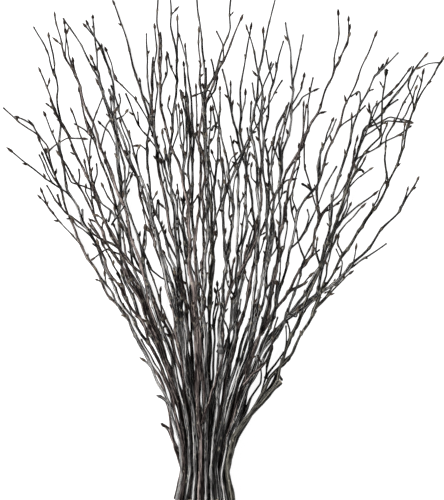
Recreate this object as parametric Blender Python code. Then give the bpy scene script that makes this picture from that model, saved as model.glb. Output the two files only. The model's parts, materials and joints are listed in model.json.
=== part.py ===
"""A bunch of dried birch branches, lying on the surface that it was put down on.

Thirty-two thin branches are gathered side by side at a narrow neck and fan out from it.
Each branch is one grown piece: a main stem, its side shoots and its buds.

The routes are drawn on a flat layout sheet, in millimetres: the first number is the way
across and the second the way down from the furthest tips, so the cut ends are lowest.
The sheet lies on the floor, its top edge towards +Y, and +Z points up from it.
"""
import math
import random

import bmesh
import bpy
import numpy as np
from mathutils import Matrix, Vector, kdtree

# Driving dimensions, in millimetres
SHEET_MIDDLE = (222.0, 253.5)
NECK_DOWN = 470.0
NECK_LEFT = 181.5
NECK_RIGHT = 227.0
CUT_ENDS_DOWN = (501.0, 511.0)
FOOT_FLARE = 1.3
FOOT_RADIUS = (1.85, 2.15)
BROKEN_RADIUS = (2.2, 1.7)
STEM_TIP_RADIUS = 0.75
STEM_TAPER = 0.75
SHOOT_SHARE = 0.66
SHOOT_RADIUS = (0.85, 1.2)
SHOOT_TIP_RADIUS = 0.65
STEM_STEP = 34.0
SHOOT_STEP = 25.0
KINK = 0.55
KINK_TURN = 0.6
READS_PER_SPAN = 12
STRAIGHT_NECK = 50.0

# How the bunch fills out: four rows of stems lie on each other at the neck, and each
# row rises further above the floor towards its tips than the row below it
FLOOR_SEAT = 0.87
ROW_CYCLE = (0, 4, 2, 5, 1, 3)
ROW_PITCH = 4.0
ROW_RISE = (0.0, 26.0, 52.0, 78.0, 104.0, 128.0)
ROW_SPREAD = (9.0, 11.0, 12.0, 13.0, 13.0, 13.0)
FULL_REACH = 480.0
BOW = (0.95, 1.35)
SHOOT_TILT = (-26.0, 34.0)
SHOOT_STRAIGHT = 6.0

# Room between two branches that pass over each other, and the look-round used for it
CLEARANCE = 0.25
FACET_ROOM = 0.98
READ_STEP = 2.0
READ_MARGIN = 0.4
JUNCTION_ROOM = 16.0
MEETING_BREAK = 8
SETTLE_ROUNDS = 420
FIRM_ROUNDS = 160
STIFFNESS = 0.5
SPRING_BACK = 0.998
PUSH_STRENGTH = 1.2
LEAST_WEIGHT = 0.35

# Sides of the faceted wood, and the buds
STEM_SIDES = 4
SHOOT_SIDES = 4
BUD_SIDES = 4
BUD_LENGTH = (5.5, 7.5)
BUD_RADIUS = (1.05, 1.3)
BUD_LEAN = (26.0, 40.0)
BUD_PITCH = (20.0, 27.0)
BUD_BELLY = 0.38
BUDS_FROM_DOWN = 345.0
BUD_SHARE = 7
FIRST_BUD = 1
BUD_SEAT = 0.35
BUD_UPRIGHT = 0.75
BUD_ROOM = 1.0
BUD_TWIST = 0.6
BARE_END = 9.0
LOW_WOOD = 4.0
BUD_FLOOR = 0.05
MILLIMETRE = 0.001

BARKS = {
    "grey": ((0.060, 0.049, 0.044, 1.0), 0.62),
    "red": ((0.078, 0.046, 0.038, 1.0), 0.58),
    "olive": ((0.112, 0.098, 0.058, 1.0), 0.60),
}

# The branches in their order across the neck, from the left
BRANCHES = {
    "outer_left": dict(
        bark="red",
        stem=[(176, 448), (169, 432), (168, 417), (168, 403), (163, 388), (155, 373), (145, 360),
              (141, 348), (137, 335), (123, 315), (108, 297), (95, 272), (80, 247), (68, 217), (57, 184), (47, 151), (34, 130), (26, 117)],
        shoots=[[(79, 245), (70, 238), (57, 218), (42, 200), (38, 186)],
                [(36, 133), (22, 124), (8, 116), (1, 106)],
                [(28, 122), (20, 117), (12, 115)],
                [(45, 148), (57, 142), (71, 135), (88, 138)],
                [(169, 432), (165, 428), (160, 425)],
                [(168, 403), (162, 398), (155, 397)],
                [(58, 187), (50, 176), (44, 161), (40, 150)],
                [(56, 182), (51, 171), (46, 155), (43, 146)]]),
    "low_left_twin": dict(
        bark="grey",
        stem=[(178, 437), (168, 405), (151, 367), (134, 333), (120, 305), (111, 292), (103, 283),
              (97, 274), (94, 266)],
        shoots=[[(103, 283), (105, 274), (104, 268)]]),
    "left_reach": dict(
        bark="grey",
        stem=[(179, 430), (170, 395), (158, 360), (142, 334), (124, 308), (108, 277), (97, 248),
              (82, 218), (69, 195), (63, 167), (60, 138), (59, 101), (56, 74), (46, 50), (34, 27)],
        shoots=[[(69, 195), (50, 181), (29, 166), (7, 147)],
                [(57, 76), (58, 66), (51, 50), (48, 32)],
                [(62, 157), (54, 141), (50, 126), (43, 110)],
                [(84, 221), (82, 208)]]),
    "left_parallel": dict(
        bark="red",
        stem=[(180, 431), (172, 400), (158, 360), (144, 326), (131, 303), (122, 291), (113, 277),
              (106, 264), (101, 250), (97, 238)],
        shoots=[[(104, 258), (99, 248), (93, 243)],
                [(122, 291), (121, 281), (117, 272)]]),
    "low_left_sweep": dict(
        bark="red",
        stem=[(181, 425), (170, 385), (160, 350), (152, 320), (146, 291), (139, 271), (126, 256),
              (112, 243), (98, 236), (80, 228), (69, 218), (57, 202), (45, 184)],
        shoots=[[(100, 238), (86, 222)],
                [(60, 206), (56, 193)],
                [(126, 256), (113, 248), (100, 251), (88, 262)]]),
    "left_inner_sweep": dict(
        bark="red",
        stem=[(183, 426), (176, 398), (166, 365), (152, 330), (138, 298), (125, 271), (114, 256),
              (106, 243), (99, 228), (94, 212), (86, 199), (77, 184), (69, 170), (62, 159), (57, 150)],
        shoots=[[(95, 214), (93, 198), (90, 184), (86, 169), (84, 158)],
                [(100, 231), (96, 222), (88, 218)],
                [(125, 271), (117, 258), (110, 246), (103, 240)],
                [(77, 184), (80, 174), (79, 168)]]),
    "left_centre": dict(
        bark="grey",
        stem=[(182, 424), (170, 378), (152, 340), (133, 305), (122, 275), (118, 235), (119, 195),
              (116, 150), (114, 110), (111, 76), (108, 60), (97, 40), (81, 20)],
        shoots=[[(110, 66), (103, 56), (93, 35), (84, 17)],
                [(116, 144), (107, 130), (96, 119)],
                [(114, 116), (122, 114), (128, 107)],
                [(120, 202), (127, 182), (126, 162), (129, 148)],
                [(111, 98), (107, 86)]]),
    "left_mid_dark": dict(
        bark="red",
        stem=[(184, 428), (177, 398), (165, 364), (153, 333), (143, 308), (135, 286), (127, 266), (119, 250),
              (112, 236), (106, 222), (101, 208), (98, 196), (95, 184), (91, 172), (88, 158), (84, 142),
              (78, 126), (72, 108)],
        shoots=[[(106, 222), (99, 216), (92, 214)],
                [(95, 184), (98, 174), (97, 163)]]),
    "brown_left": dict(
        bark="red",
        stem=[(184, 430), (174, 390), (162, 350), (148, 312), (134, 280), (118, 246), (104, 218),
              (95, 198), (84, 167), (70, 141), (57, 114), (47, 88), (39, 67)],
        shoots=[[(94, 198), (90, 178), (89, 150), (92, 122), (102, 94)],
                [(90, 190), (76, 186), (68, 176), (63, 162)],
                [(61, 121), (54, 112), (51, 97)]]),
    "bud_cluster": dict(
        bark="grey",
        stem=[(188, 430), (182, 400), (172, 360), (161, 326), (152, 303), (147, 284), (144, 262),
              (140, 240), (133, 225), (127, 212), (126, 195), (127, 177), (124, 160), (120, 147),
              (116, 130), (114, 112), (112, 98)],
        shoots=[[(127, 190), (131, 180), (134, 172)],
                [(144, 258), (144, 247), (147, 239), (145, 232), (146, 223)],
                [(116, 130), (111, 120), (110, 113)],
                [(124, 205), (118, 217), (112, 226)]]),
    "left_core": dict(
        bark="grey",
        stem=[(186, 430), (179, 398), (168, 364), (157, 335), (147, 308), (141, 290), (134, 268), (129, 250),
              (125, 232), (121, 215), (119, 198), (120, 182), (118, 165), (117, 148), (114, 130), (108, 112),
              (101, 94), (95, 76)],
        shoots=[[(125, 232), (118, 222), (113, 212), (112, 204)],
                [(119, 198), (113, 186), (108, 172), (104, 158)]]),
    "left_fork": dict(
        bark="red",
        stem=[(187, 430), (178, 385), (166, 340), (152, 298), (138, 258), (126, 215), (112, 174),
              (99, 140), (88, 108), (77, 80), (67, 56), (60, 38), (56, 14)],
        shoots=[[(67, 56), (67, 40), (66, 21)],
                [(75, 76), (74, 58)],
                [(102, 146), (108, 124), (119, 108)]]),
    "left_twin": dict(
        bark="red",
        stem=[(189, 430), (182, 385), (172, 345), (158, 310), (146, 282), (134, 256), (124, 228),
              (115, 200), (105, 175), (96, 147), (88, 127), (80, 104), (77, 82)],
        shoots=[[(92, 138), (83, 128), (72, 122)],
                [(118, 208), (106, 196), (100, 181)]]),
    "red_pair_left": dict(
        bark="red",
        stem=[(190, 430), (186, 400), (181, 362), (176, 328), (171, 303), (167, 283), (161, 262),
              (155, 243), (149, 225), (145, 210), (141, 195), (137, 180), (131, 166), (124, 151),
              (118, 134), (112, 118)],
        shoots=[[(131, 167), (127, 159), (125, 150)],
                [(155, 243), (151, 234), (146, 225)],
                [(141, 195), (144, 186), (143, 178)]]),
    "left_mid_long": dict(
        bark="grey",
        stem=[(192, 430), (187, 390), (180, 345), (174, 300), (165, 263), (153, 225), (143, 193),
              (131, 160), (118, 128), (106, 99), (95, 72), (80, 43), (63, 18)],
        shoots=[[(103, 92), (98, 68), (96, 40), (94, 17)],
                [(99, 74), (90, 54)],
                [(151, 220), (150, 204), (158, 190)]]),
    "red_pair_right": dict(
        bark="grey",
        stem=[(194, 430), (190, 400), (184, 362), (178, 328), (173, 303), (168, 285), (163, 263),
              (157, 240), (153, 222), (150, 205), (146, 190), (142, 175), (138, 162), (134, 150),
              (130, 138), (125, 124), (121, 111), (117, 100), (113, 88)],
        shoots=[[(138, 162), (139, 152), (142, 145)],
                [(153, 222), (155, 214), (154, 208)],
                [(121, 111), (123, 102), (121, 96)]]),
    "zigzag": dict(
        bark="grey",
        stem=[(194, 430), (190, 385), (183, 340), (175, 298), (162, 258), (152, 220), (149, 180),
              (145, 148), (150, 122), (150, 97), (146, 70), (149, 50), (146, 31)],
        shoots=[[(146, 150), (139, 144), (131, 146)],
                [(150, 106), (141, 92), (139, 76)],
                [(157, 240), (146, 226), (142, 208)],
                [(170, 284), (152, 272), (143, 247), (145, 224)]]),
    "thin_straight": dict(
        bark="grey",
        stem=[(197, 430), (194, 400), (190, 367), (187, 340), (184, 315), (180, 290), (174, 264),
              (167, 244), (161, 228), (157, 214), (151, 206), (148, 195), (147, 183)],
        shoots=[[(157, 214), (157, 207), (158, 199)],
                [(167, 244), (164, 236), (166, 228)]]),
    "tall_left": dict(
        bark="red",
        stem=[(197, 430), (193, 380), (187, 325), (180, 272), (170, 225), (160, 180), (155, 137),
              (143, 99), (135, 75), (126, 38), (118, 10), (111, -4)],
        shoots=[[(156, 144), (148, 120), (140, 104), (128, 91), (114, 77)],
                [(157, 154), (152, 116), (152, 80), (156, 48), (154, 21)],
                [(155, 146), (143, 133), (130, 106), (125, 92)],
                [(176, 262), (163, 232), (157, 212), (158, 198)],
                [(139, 124), (137, 110)]]),
    "tall_mid": dict(
        bark="grey",
        stem=[(195, 425), (188, 380), (183, 330), (179, 275), (176, 225), (170, 180), (172, 135),
              (177, 92), (178, 66), (173, 40), (171, -4)],
        shoots=[[(178, 62), (178, 38), (178, 17)],
                [(172, 119), (168, 107), (171, 96)],
                [(177, 82), (170, 66), (168, 54)],
                [(170, 160), (178, 130), (177, 106)]]),
    "grey_bend": dict(
        bark="grey",
        stem=[(201, 430), (199, 400), (197, 366), (195, 336), (193, 306), (190, 280), (187, 255),
              (183, 235), (180, 217), (176, 203), (172, 187), (168, 176), (163, 164), (157, 152),
              (154, 135), (152, 118), (152, 107)],
        shoots=[[(154, 120), (157, 104), (158, 88), (157, 72), (153, 60)],
                [(176, 203), (178, 192), (177, 183)],
                [(163, 164), (165, 154), (164, 147)]]),
    "tall_mid_left": dict(
        bark="red",
        stem=[(200, 430), (198, 380), (196, 330), (191, 275), (189, 225), (185, 180), (172, 148),
              (163, 115), (160, 75), (162, 48), (157, 15), (160, -4)],
        shoots=[[(189, 232), (180, 210), (178, 188)],
                [(161, 92), (168, 76), (167, 58)]]),
    "slim_mid": dict(
        bark="grey",
        stem=[(205, 430), (204, 400), (201, 366), (199, 336), (196, 306), (192, 280), (188, 258),
              (184, 238), (181, 218), (183, 200), (184, 183), (184, 168), (186, 152), (187, 135),
              (184, 119), (186, 102), (185, 84), (184, 66)],
        shoots=[[(183, 203), (187, 196), (188, 188)],
                [(187, 135), (190, 124), (189, 116)],
                [(186, 102), (183, 95), (181, 88)]]),
    "core_left": dict(
        bark="grey",
        stem=[(203, 430), (203, 370), (201, 310), (195, 250), (191, 200), (194, 150), (191, 100),
              (187, 62), (185, 44)],
        shoots=[[(187, 62), (183, 48), (178, 33)],
                [(192, 130), (184, 110), (180, 89)],
                [(198, 282), (190, 264), (188, 246)],
                [(192, 156), (187, 112), (186, 86), (184, 63)]]),
    "core_brown": dict(
        bark="red",
        stem=[(203, 430), (202, 400), (200, 366), (197, 336), (195, 306), (192, 281), (190, 255),
              (188, 230), (188, 205), (187, 180), (189, 160), (191, 140), (190, 120), (189, 104),
              (186, 90)],
        shoots=[[(191, 140), (187, 125), (184, 110), (181, 92)],
                [(190, 255), (194, 244), (196, 234)],
                [(188, 210), (193, 202), (199, 193)]]),
    "core_right": dict(
        bark="red",
        stem=[(205, 430), (201, 365), (196, 290), (195, 240), (202, 180), (199, 137), (205, 103),
              (220, 71), (233, 42), (243, 18)],
        shoots=[[(200, 150), (191, 128), (187, 108)],
                [(224, 62), (222, 46), (216, 34)]]),
    "straight_mid": dict(
        bark="red",
        stem=[(205, 430), (204, 400), (203, 366), (202, 336), (202, 306), (203, 280), (203, 255),
              (204, 230), (203, 205), (203, 180), (204, 160), (205, 138), (203, 116), (201, 98),
              (200, 80), (199, 60), (200, 42), (199, 26)],
        shoots=[[(203, 116), (206, 100), (206, 84), (206, 66)],
                [(204, 160), (200, 146), (197, 128), (196, 108), (196, 82)],
                [(203, 205), (200, 192), (199, 182)],
                [(201, 98), (204, 90), (203, 82)]]),
    "core_middle": dict(
        bark="grey",
        stem=[(206, 430), (206, 370), (204, 300), (208, 220), (207, 165), (205, 112), (206, 74),
              (200, 29), (197, -4)],
        shoots=[[(205, 116), (201, 92), (201, 66)],
                [(207, 236), (200, 216), (199, 196)],
                [(208, 234), (219, 210), (228, 186), (240, 160), (252, 136)]]),
    "ladder": dict(
        bark="grey",
        stem=[(208, 430), (208, 400), (208, 366), (208, 336), (209, 306), (211, 283), (213, 265),
              (213, 248), (214, 232), (216, 218), (215, 205), (214, 190), (212, 177), (216, 163),
              (219, 150), (221, 132), (218, 115), (219, 102), (220, 90)],
        shoots=[[(213, 182), (210, 166), (208, 150), (210, 130), (213, 115), (211, 104)],
                [(220, 128), (214, 124), (211, 131)],
                [(216, 163), (213, 155), (211, 148)]]),
    "bend_top": dict(
        bark="olive",
        stem=[(208, 430), (209, 370), (210, 310), (212, 225), (208, 172), (204, 125), (206, 92),
              (214, 71), (225, 56), (229, 30), (231, -4)],
        shoots=[[(205, 104), (214, 92), (218, 76)],
                [(211, 252), (217, 234), (215, 214)],
                [(213, 74), (211, 59)],
                [(207, 150), (213, 138), (217, 122)]]),
    "crossing_thin": dict(
        bark="grey",
        stem=[(214, 430), (216, 400), (218, 366), (219, 336), (221, 306), (224, 286), (226, 266),
              (226, 250), (224, 238), (222, 222), (222, 205), (222, 190), (223, 172), (221, 152),
              (219, 135)],
        shoots=[[(222, 215), (224, 198), (228, 185), (234, 172), (242, 155)],
                [(224, 286), (218, 292), (217, 284)],
                [(222, 190), (219, 184), (218, 178)]]),
    "inner_right": dict(
        bark="grey",
        stem=[(212, 425), (221, 380), (232, 342), (236, 318), (237, 284), (236, 248), (240, 212),
              (236, 184), (238, 160), (230, 136)],
        shoots=[[(237, 300), (228, 288), (225, 272)],
                [(239, 206), (246, 192), (244, 174)]]),
    "mid_fan": dict(
        bark="grey",
        stem=[(211, 415), (220, 366), (229, 333), (236, 290), (244, 245), (246, 205), (247, 175),
              (241, 140), (240, 105), (243, 68), (249, 45), (252, 22)],
        shoots=[[(241, 116), (245, 102), (246, 88)],
                [(246, 158), (249, 142), (247, 127)]]),
    "mid_right": dict(
        bark="grey",
        stem=[(215, 430), (219, 380), (222, 320), (226, 265), (233, 220), (229, 178), (221, 135),
              (219, 110), (220, 88)],
        shoots=[[(228, 174), (230, 163), (243, 150), (256, 126), (271, 100), (283, 79)],
                [(219, 120), (213, 103), (204, 87), (195, 91), (190, 100)],
                [(231, 206), (233, 182), (244, 153)],
                [(227, 256), (223, 228), (223, 205), (226, 180), (222, 158)]]),
    "core_dark": dict(
        bark="red",
        stem=[(218, 430), (222, 400), (230, 362), (238, 332), (246, 306), (250, 285), (254, 265),
              (256, 248), (257, 230), (259, 212), (261, 196), (262, 180), (262, 165), (260, 150),
              (259, 132), (258, 115), (262, 98)],
        shoots=[[(250, 285), (246, 276), (244, 268)],
                [(257, 232), (250, 225), (247, 212), (253, 206)],
                [(262, 172), (256, 160), (251, 152)],
                [(259, 132), (255, 120), (254, 108)]]),
    "right_arc": dict(
        bark="grey",
        stem=[(220, 425), (233, 372), (250, 320), (265, 275), (269, 245), (266, 205), (263, 155),
              (262, 105), (257, 62), (248, 43), (245, 25)],
        shoots=[[(268, 262), (276, 247), (275, 230)],
                [(263, 116), (254, 98), (252, 82)],
                [(267, 224), (268, 200), (274, 154), (281, 131)]]),
    "droop_tip": dict(
        bark="grey",
        stem=[(219, 425), (229, 370), (236, 320), (243, 272), (256, 232), (250, 190), (244, 158),
              (235, 126), (230, 98), (222, 66)],
        shoots=[[(236, 130), (231, 112), (233, 98)],
                [(254, 226), (262, 204), (262, 186)],
                [(231, 104), (230, 90), (231, 78)]]),
    "right_tall": dict(
        bark="grey",
        stem=[(223, 425), (238, 370), (251, 325), (256, 270), (259, 210), (256, 165), (251, 130),
              (257, 92), (262, 55), (270, 20), (276, -4)],
        shoots=[[(261, 62), (263, 46), (262, 30)],
                [(254, 110), (265, 84), (273, 66)],
                [(253, 142), (250, 120), (251, 102)]]),
    "sweep_right": dict(
        bark="red",
        stem=[(218, 425), (220, 370), (223, 318), (233, 278), (252, 255), (264, 222), (279, 187),
              (295, 156), (310, 130), (323, 98), (336, 66), (338, 40), (338, 9)],
        shoots=[[(336, 70), (345, 54), (349, 35), (348, 16)],
                [(300, 146), (304, 120), (304, 99)],
                [(308, 132), (308, 104), (313, 77)],
                [(279, 188), (288, 179), (298, 179)],
                [(290, 166), (298, 160), (299, 142)]]),
    "right_inner": dict(
        bark="grey",
        stem=[(224, 430), (231, 400), (243, 364), (255, 332), (262, 306), (266, 280), (270, 258),
              (272, 235), (273, 212), (277, 190), (280, 172), (277, 150), (279, 134), (284, 120),
              (288, 104)],
        shoots=[[(272, 228), (269, 206), (268, 184), (267, 162), (271, 144), (278, 127), (286, 110)],
                [(280, 165), (274, 154), (270, 142)],
                [(266, 280), (262, 268), (263, 256), (267, 241)]]),
    "right_bow": dict(
        bark="grey",
        stem=[(226, 425), (242, 374), (255, 325), (262, 280), (270, 240), (274, 200), (268, 165),
              (264, 130), (270, 98), (277, 65), (284, 39)],
        shoots=[[(273, 82), (268, 62), (266, 48)],
                [(273, 216), (282, 196), (284, 176)],
                [(272, 196), (272, 160), (276, 128), (289, 103)]]),
    "brown_right": dict(
        bark="red",
        stem=[(231, 430), (238, 400), (250, 364), (262, 332), (271, 306), (274, 283), (276, 262),
              (280, 242), (283, 222), (285, 205), (288, 190), (291, 176), (296, 162), (300, 148),
              (303, 134), (304, 118), (306, 104)],
        shoots=[[(291, 176), (297, 168), (300, 157), (299, 149)],
                [(285, 205), (292, 192), (295, 181)],
                [(271, 306), (262, 298), (268, 288), (275, 276)],
                [(283, 228), (286, 218), (286, 203)]]),
    "right_hook": dict(
        bark="grey",
        stem=[(229, 425), (247, 374), (262, 328), (273, 285), (281, 235), (280, 190), (281, 162),
              (290, 133), (294, 95), (292, 60), (286, 19)],
        shoots=[[(294, 82), (299, 56), (304, 32)],
                [(293, 104), (303, 84), (306, 70)],
                [(292, 112), (300, 96), (312, 93), (321, 86)],
                [(277, 270), (287, 240), (287, 216), (285, 201)],
                [(280, 170), (282, 142), (287, 120), (292, 101)]]),
    "right_lean": dict(
        bark="grey",
        stem=[(232, 431), (243, 400), (260, 364), (277, 335), (289, 312), (293, 297), (297, 285),
              (300, 270), (305, 257), (311, 245), (316, 235)],
        shoots=[[(289, 312), (296, 318), (298, 306)],
                [(300, 270), (304, 262), (311, 258)]]),
    "long_right": dict(
        bark="grey",
        stem=[(230, 432), (243, 390), (260, 350), (284, 321), (303, 299), (320, 266), (329, 238),
              (331, 203), (345, 158), (354, 127), (362, 100), (376, 75), (399, 52)],
        shoots=[[(362, 104), (359, 90), (350, 97)],
                [(376, 76), (384, 69), (389, 56)],
                [(320, 266), (316, 252), (318, 236)]]),
    "right_bud_tip": dict(
        bark="grey",
        stem=[(232, 428), (252, 376), (268, 332), (280, 290), (291, 248), (297, 212), (309, 196),
              (317, 182), (319, 158), (327, 132), (335, 120)],
        shoots=[[(292, 250), (301, 240), (312, 214), (323, 190), (335, 167)],
                [(297, 214), (291, 198), (293, 184)]]),
    "right_mid": dict(
        bark="red",
        stem=[(229, 427), (241, 378), (258, 338), (280, 304), (300, 274), (315, 244), (320, 216),
              (317, 190), (328, 153), (344, 114), (357, 80), (366, 57), (378, 29)],
        shoots=[[(340, 126), (352, 117), (367, 104)],
                [(291, 290), (303, 285), (315, 271)],
                [(320, 214), (312, 190), (305, 164), (305, 142)],
                [(307, 262), (298, 240), (290, 195)],
                [(306, 262), (313, 256), (321, 249)],
                [(319, 215), (329, 206), (340, 194), (349, 182), (355, 165), (356, 146)]]),
    "low_right_long": dict(
        bark="grey",
        stem=[(228, 440), (243, 400), (257, 360), (281, 327), (309, 304), (335, 284), (352, 266),
              (380, 233), (399, 210), (410, 191), (419, 176)],
        shoots=[[(350, 268), (368, 257), (387, 243)],
                [(341, 279), (343, 262), (336, 248)],
                [(336, 283), (328, 294), (315, 308)],
                [(353, 266), (356, 252), (357, 242)]]),
    "right_spread": dict(
        bark="grey",
        stem=[(236, 435), (247, 395), (258, 357), (280, 327), (305, 305), (318, 294), (325, 268),
              (335, 232), (345, 198), (353, 168), (360, 139), (382, 113), (405, 84), (431, 49)],
        shoots=[[(371, 125), (380, 102), (394, 90), (414, 64)],
                [(357, 158), (382, 144), (402, 133), (414, 124)],
                [(338, 224), (352, 213), (367, 198), (381, 190)],
                [(348, 190), (361, 175), (375, 166)],
                [(370, 128), (382, 118), (396, 115), (416, 121)],
                [(338, 230), (346, 217), (353, 201)],
                [(366, 136), (376, 127), (390, 119), (404, 117), (415, 122)],
                [(357, 155), (363, 141), (369, 129), (373, 115), (376, 104), (384, 97), (395, 90)]]),
    "outer_right": dict(
        bark="olive",
        stem=[(234, 445), (254, 408), (272, 374), (292, 353), (302, 336), (309, 318), (320, 296),
              (328, 280), (343, 254), (360, 229), (376, 205), (389, 180), (399, 162), (403, 132),
              (412, 108), (428, 80), (437, 62), (443, 56)],
        shoots=[[(387, 183), (384, 165), (384, 146), (389, 130), (398, 115), (419, 74)],
                [(437, 62), (427, 65), (413, 72)],
                [(412, 108), (406, 86), (411, 68)],
                [(343, 254), (337, 246), (339, 232)],
                [(412, 107), (418, 90), (422, 69)]]),
    "olive_low": dict(
        bark="olive",
        stem=[(233, 448), (244, 425), (256, 409), (270, 390), (280, 370), (288, 345), (298, 321),
              (307, 302), (318, 272), (330, 242), (341, 210), (350, 180), (360, 160), (376, 145),
              (380, 125), (384, 95), (386, 69)],
        shoots=[[(278, 374), (283, 382)],
                [(289, 344), (290, 330), (286, 318)],
                [(260, 404), (266, 374), (271, 350), (275, 330)],
                [(379, 132), (370, 116), (368, 102)]]),
    "broken_low": dict(
        bark="olive", broken=True,
        stem=[(231, 444), (241, 423), (253, 410), (266, 396), (280, 381)],
        shoots=[[(277, 384), (279, 371), (282, 357)]]),
}


class Strand:
    """A length of wood, as points a few millimetres apart: a main stem or a side shoot."""

    def __init__(self, plan, radii, wish, parent=None, place=0.0):
        self.plan = plan
        self.radii = radii
        self.wish = wish
        self.parent = parent
        self.place = place
        self.start = 0
        self.broken = False

    def run(self):
        steps = np.linalg.norm(np.diff(self.plan, axis=0), axis=1)
        return np.concatenate([[0.0], np.cumsum(steps)])


def between(low_high, draw):
    return low_high[0] + (low_high[1] - low_high[0]) * draw.random()


def from_sheet(points):
    """Turns places on the layout sheet into X and Y."""
    return [(across - SHEET_MIDDLE[0], SHEET_MIDDLE[1] - down) for across, down in points]


def smooth_line(points, step):
    """Reads a smooth line through the points at even steps."""
    points = np.array(points, float)
    chords = np.linalg.norm(np.diff(points, axis=0), axis=1)
    slopes = np.diff(points, axis=0) / chords[:, None]
    tangents = np.vstack([slopes[:1], slopes[-1:]])
    if len(points) > 2:
        before, after = chords[:-1, None], chords[1:, None]
        inner = (slopes[:-1] * after + slopes[1:] * before) / (before + after)
        tangents = np.vstack([slopes[:1], inner, slopes[-1:]])
    dense = []
    for index, chord in enumerate(chords):
        for part in np.linspace(0.0, 1.0, READS_PER_SPAN, endpoint=False):
            square, cube = part ** 2, part ** 3
            dense.append((2 * cube - 3 * square + 1) * points[index]
                         + (cube - 2 * square + part) * chord * tangents[index]
                         + (3 * square - 2 * cube) * points[index + 1]
                         + (cube - square) * chord * tangents[index + 1])
    dense = np.array(dense + [points[-1]])
    run = np.concatenate([[0.0], np.cumsum(np.linalg.norm(np.diff(dense, axis=0), axis=1))])
    marks = np.linspace(0.0, run[-1], max(2, round(run[-1] / step)) + 1)
    return np.column_stack([np.interp(marks, run, dense[:, 0]), np.interp(marks, run, dense[:, 1])])


def kinked(plan, draw, size, straight_below):
    """Moves the points a little to one side and the other, as a twig turns at each bud."""
    along = np.gradient(plan, axis=0)
    across = np.column_stack([-along[:, 1], along[:, 0]])
    across /= np.linalg.norm(across, axis=1)[:, None]
    side = draw.choice((-1, 1))
    for index in range(1, len(plan) - 1):
        push = size * (KINK_TURN * side + draw.uniform(-1.0, 1.0))
        side = -side
        if plan[index][1] > straight_below:
            plan[index] += push * across[index]
    return plan


def main_stem(number, row, route, draw):
    """The main stem, from its cut end through the neck to its tip."""
    share = number / (len(BRANCHES) - 1)
    neck = NECK_LEFT + share * (NECK_RIGHT - NECK_LEFT)
    middle = 0.5 * (NECK_LEFT + NECK_RIGHT)
    foot = middle + FOOT_FLARE * (neck - middle)
    cut = between(CUT_ENDS_DOWN, draw)
    route = [(foot, cut), (neck, NECK_DOWN)] + route
    plan = smooth_line(from_sheet(route), STEM_STEP)
    plan = kinked(plan, draw, KINK, SHEET_MIDDLE[1] - NECK_DOWN + STRAIGHT_NECK)
    foot_radius = between(FOOT_RADIUS, draw)
    left = 1.0 - np.linspace(0.0, 1.0, len(plan))
    radii = STEM_TIP_RADIUS + (foot_radius - STEM_TIP_RADIUS) * left ** STEM_TAPER
    reach = (plan[:, 1] - (SHEET_MIDDLE[1] - NECK_DOWN)) / FULL_REACH
    rise = ROW_RISE[row] + ROW_SPREAD[row] * draw.uniform(-1.0, 1.0)
    bow = between(BOW, draw)
    seat = FLOOR_SEAT * radii
    wish = row * ROW_PITCH + seat + rise * np.maximum(reach, 0.0) ** bow
    return Strand(plan, radii, np.maximum(wish, seat))


def nearest_place(strand, point):
    """The nearest place on a strand, as a point number and a fraction, with its distance."""
    starts, ends = strand.plan[:-1], strand.plan[1:]
    spans = ends - starts
    parts = np.clip(((point - starts) * spans).sum(1) / (spans ** 2).sum(1), 0.0, 1.0)
    gaps = np.linalg.norm(starts + spans * parts[:, None] - point, axis=1)
    best = int(gaps.argmin())
    return best + parts[best], gaps[best]


def value_at(values, place):
    """Reads a value, or a point, at a place between two of a strand's points."""
    index = min(int(place), len(values) - 2)
    part = place - index
    return values[index] * (1 - part) + values[index + 1] * part


def side_shoot(strands, route, row, draw):
    """A side shoot, grown from the nearest wood of its branch."""
    route = from_sheet(route)
    places = [nearest_place(strand, np.array(route[0])) for strand in strands]
    choice = min(range(len(strands)), key=lambda index: places[index][1])
    parent, place = strands[choice], places[choice][0]
    route[0] = tuple(value_at(parent.plan, place))
    plan = kinked(smooth_line(route, SHOOT_STEP), draw, 0.5 * KINK, -SHEET_MIDDLE[1])
    parent_radius = value_at(parent.radii, place)
    base = min(max(SHOOT_SHARE * parent_radius, SHOOT_RADIUS[0]), SHOOT_RADIUS[1], 0.9 * parent_radius)
    radii = np.linspace(base, SHOOT_TIP_RADIUS, len(plan))
    tilt = math.tan(math.radians(between(SHOOT_TILT, draw)))
    if row == 0:
        tilt = abs(tilt)
    shoot = Strand(plan, radii, None, parent, place)
    rise = tilt * np.maximum(shoot.run() - SHOOT_STRAIGHT, 0.0)
    shoot.wish = np.maximum(value_at(parent.wish, place) + rise, radii)
    return shoot


def grow(number, route, draw):
    """All the wood of one branch."""
    row = ROW_CYCLE[number % len(ROW_CYCLE)]
    strands = [main_stem(number, row, route["stem"], draw)]
    if route.get("broken"):
        strands[0].broken = True
        strands[0].radii = np.linspace(*BROKEN_RADIUS, len(strands[0].plan))
    for shoot in route["shoots"]:
        strands.append(side_shoot(strands, shoot, row, draw))
    return strands


def read_points(bunch):
    """Close-set places along every strand: where they are, how thick, and whose they are."""
    places, radii, owners, rows = [], [], [], []
    total = 0
    strands = [(branch, strand) for branch, wood in enumerate(bunch) for strand in wood]
    for number, (branch, strand) in enumerate(strands):
        strand.start = total
        run = strand.run()
        for index in range(len(run) - 1):
            count = max(1, round((run[index + 1] - run[index]) / READ_STEP))
            for part in np.arange(count) / count:
                mark = run[index] + part * (run[index + 1] - run[index])
                at_bud = run[-1] - mark < BUD_LENGTH[1]
                places.append(value_at(strand.plan, index + part))
                wood = value_at(strand.radii, index + part)
                radii.append(max(wood, BUD_RADIUS[1]) if at_bud else wood)
                owners.append((branch, number, mark))
                rows.append((total + index, part))
        total += len(strand.plan)
    return strands, np.array(places), np.array(radii), owners, rows, total


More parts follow.
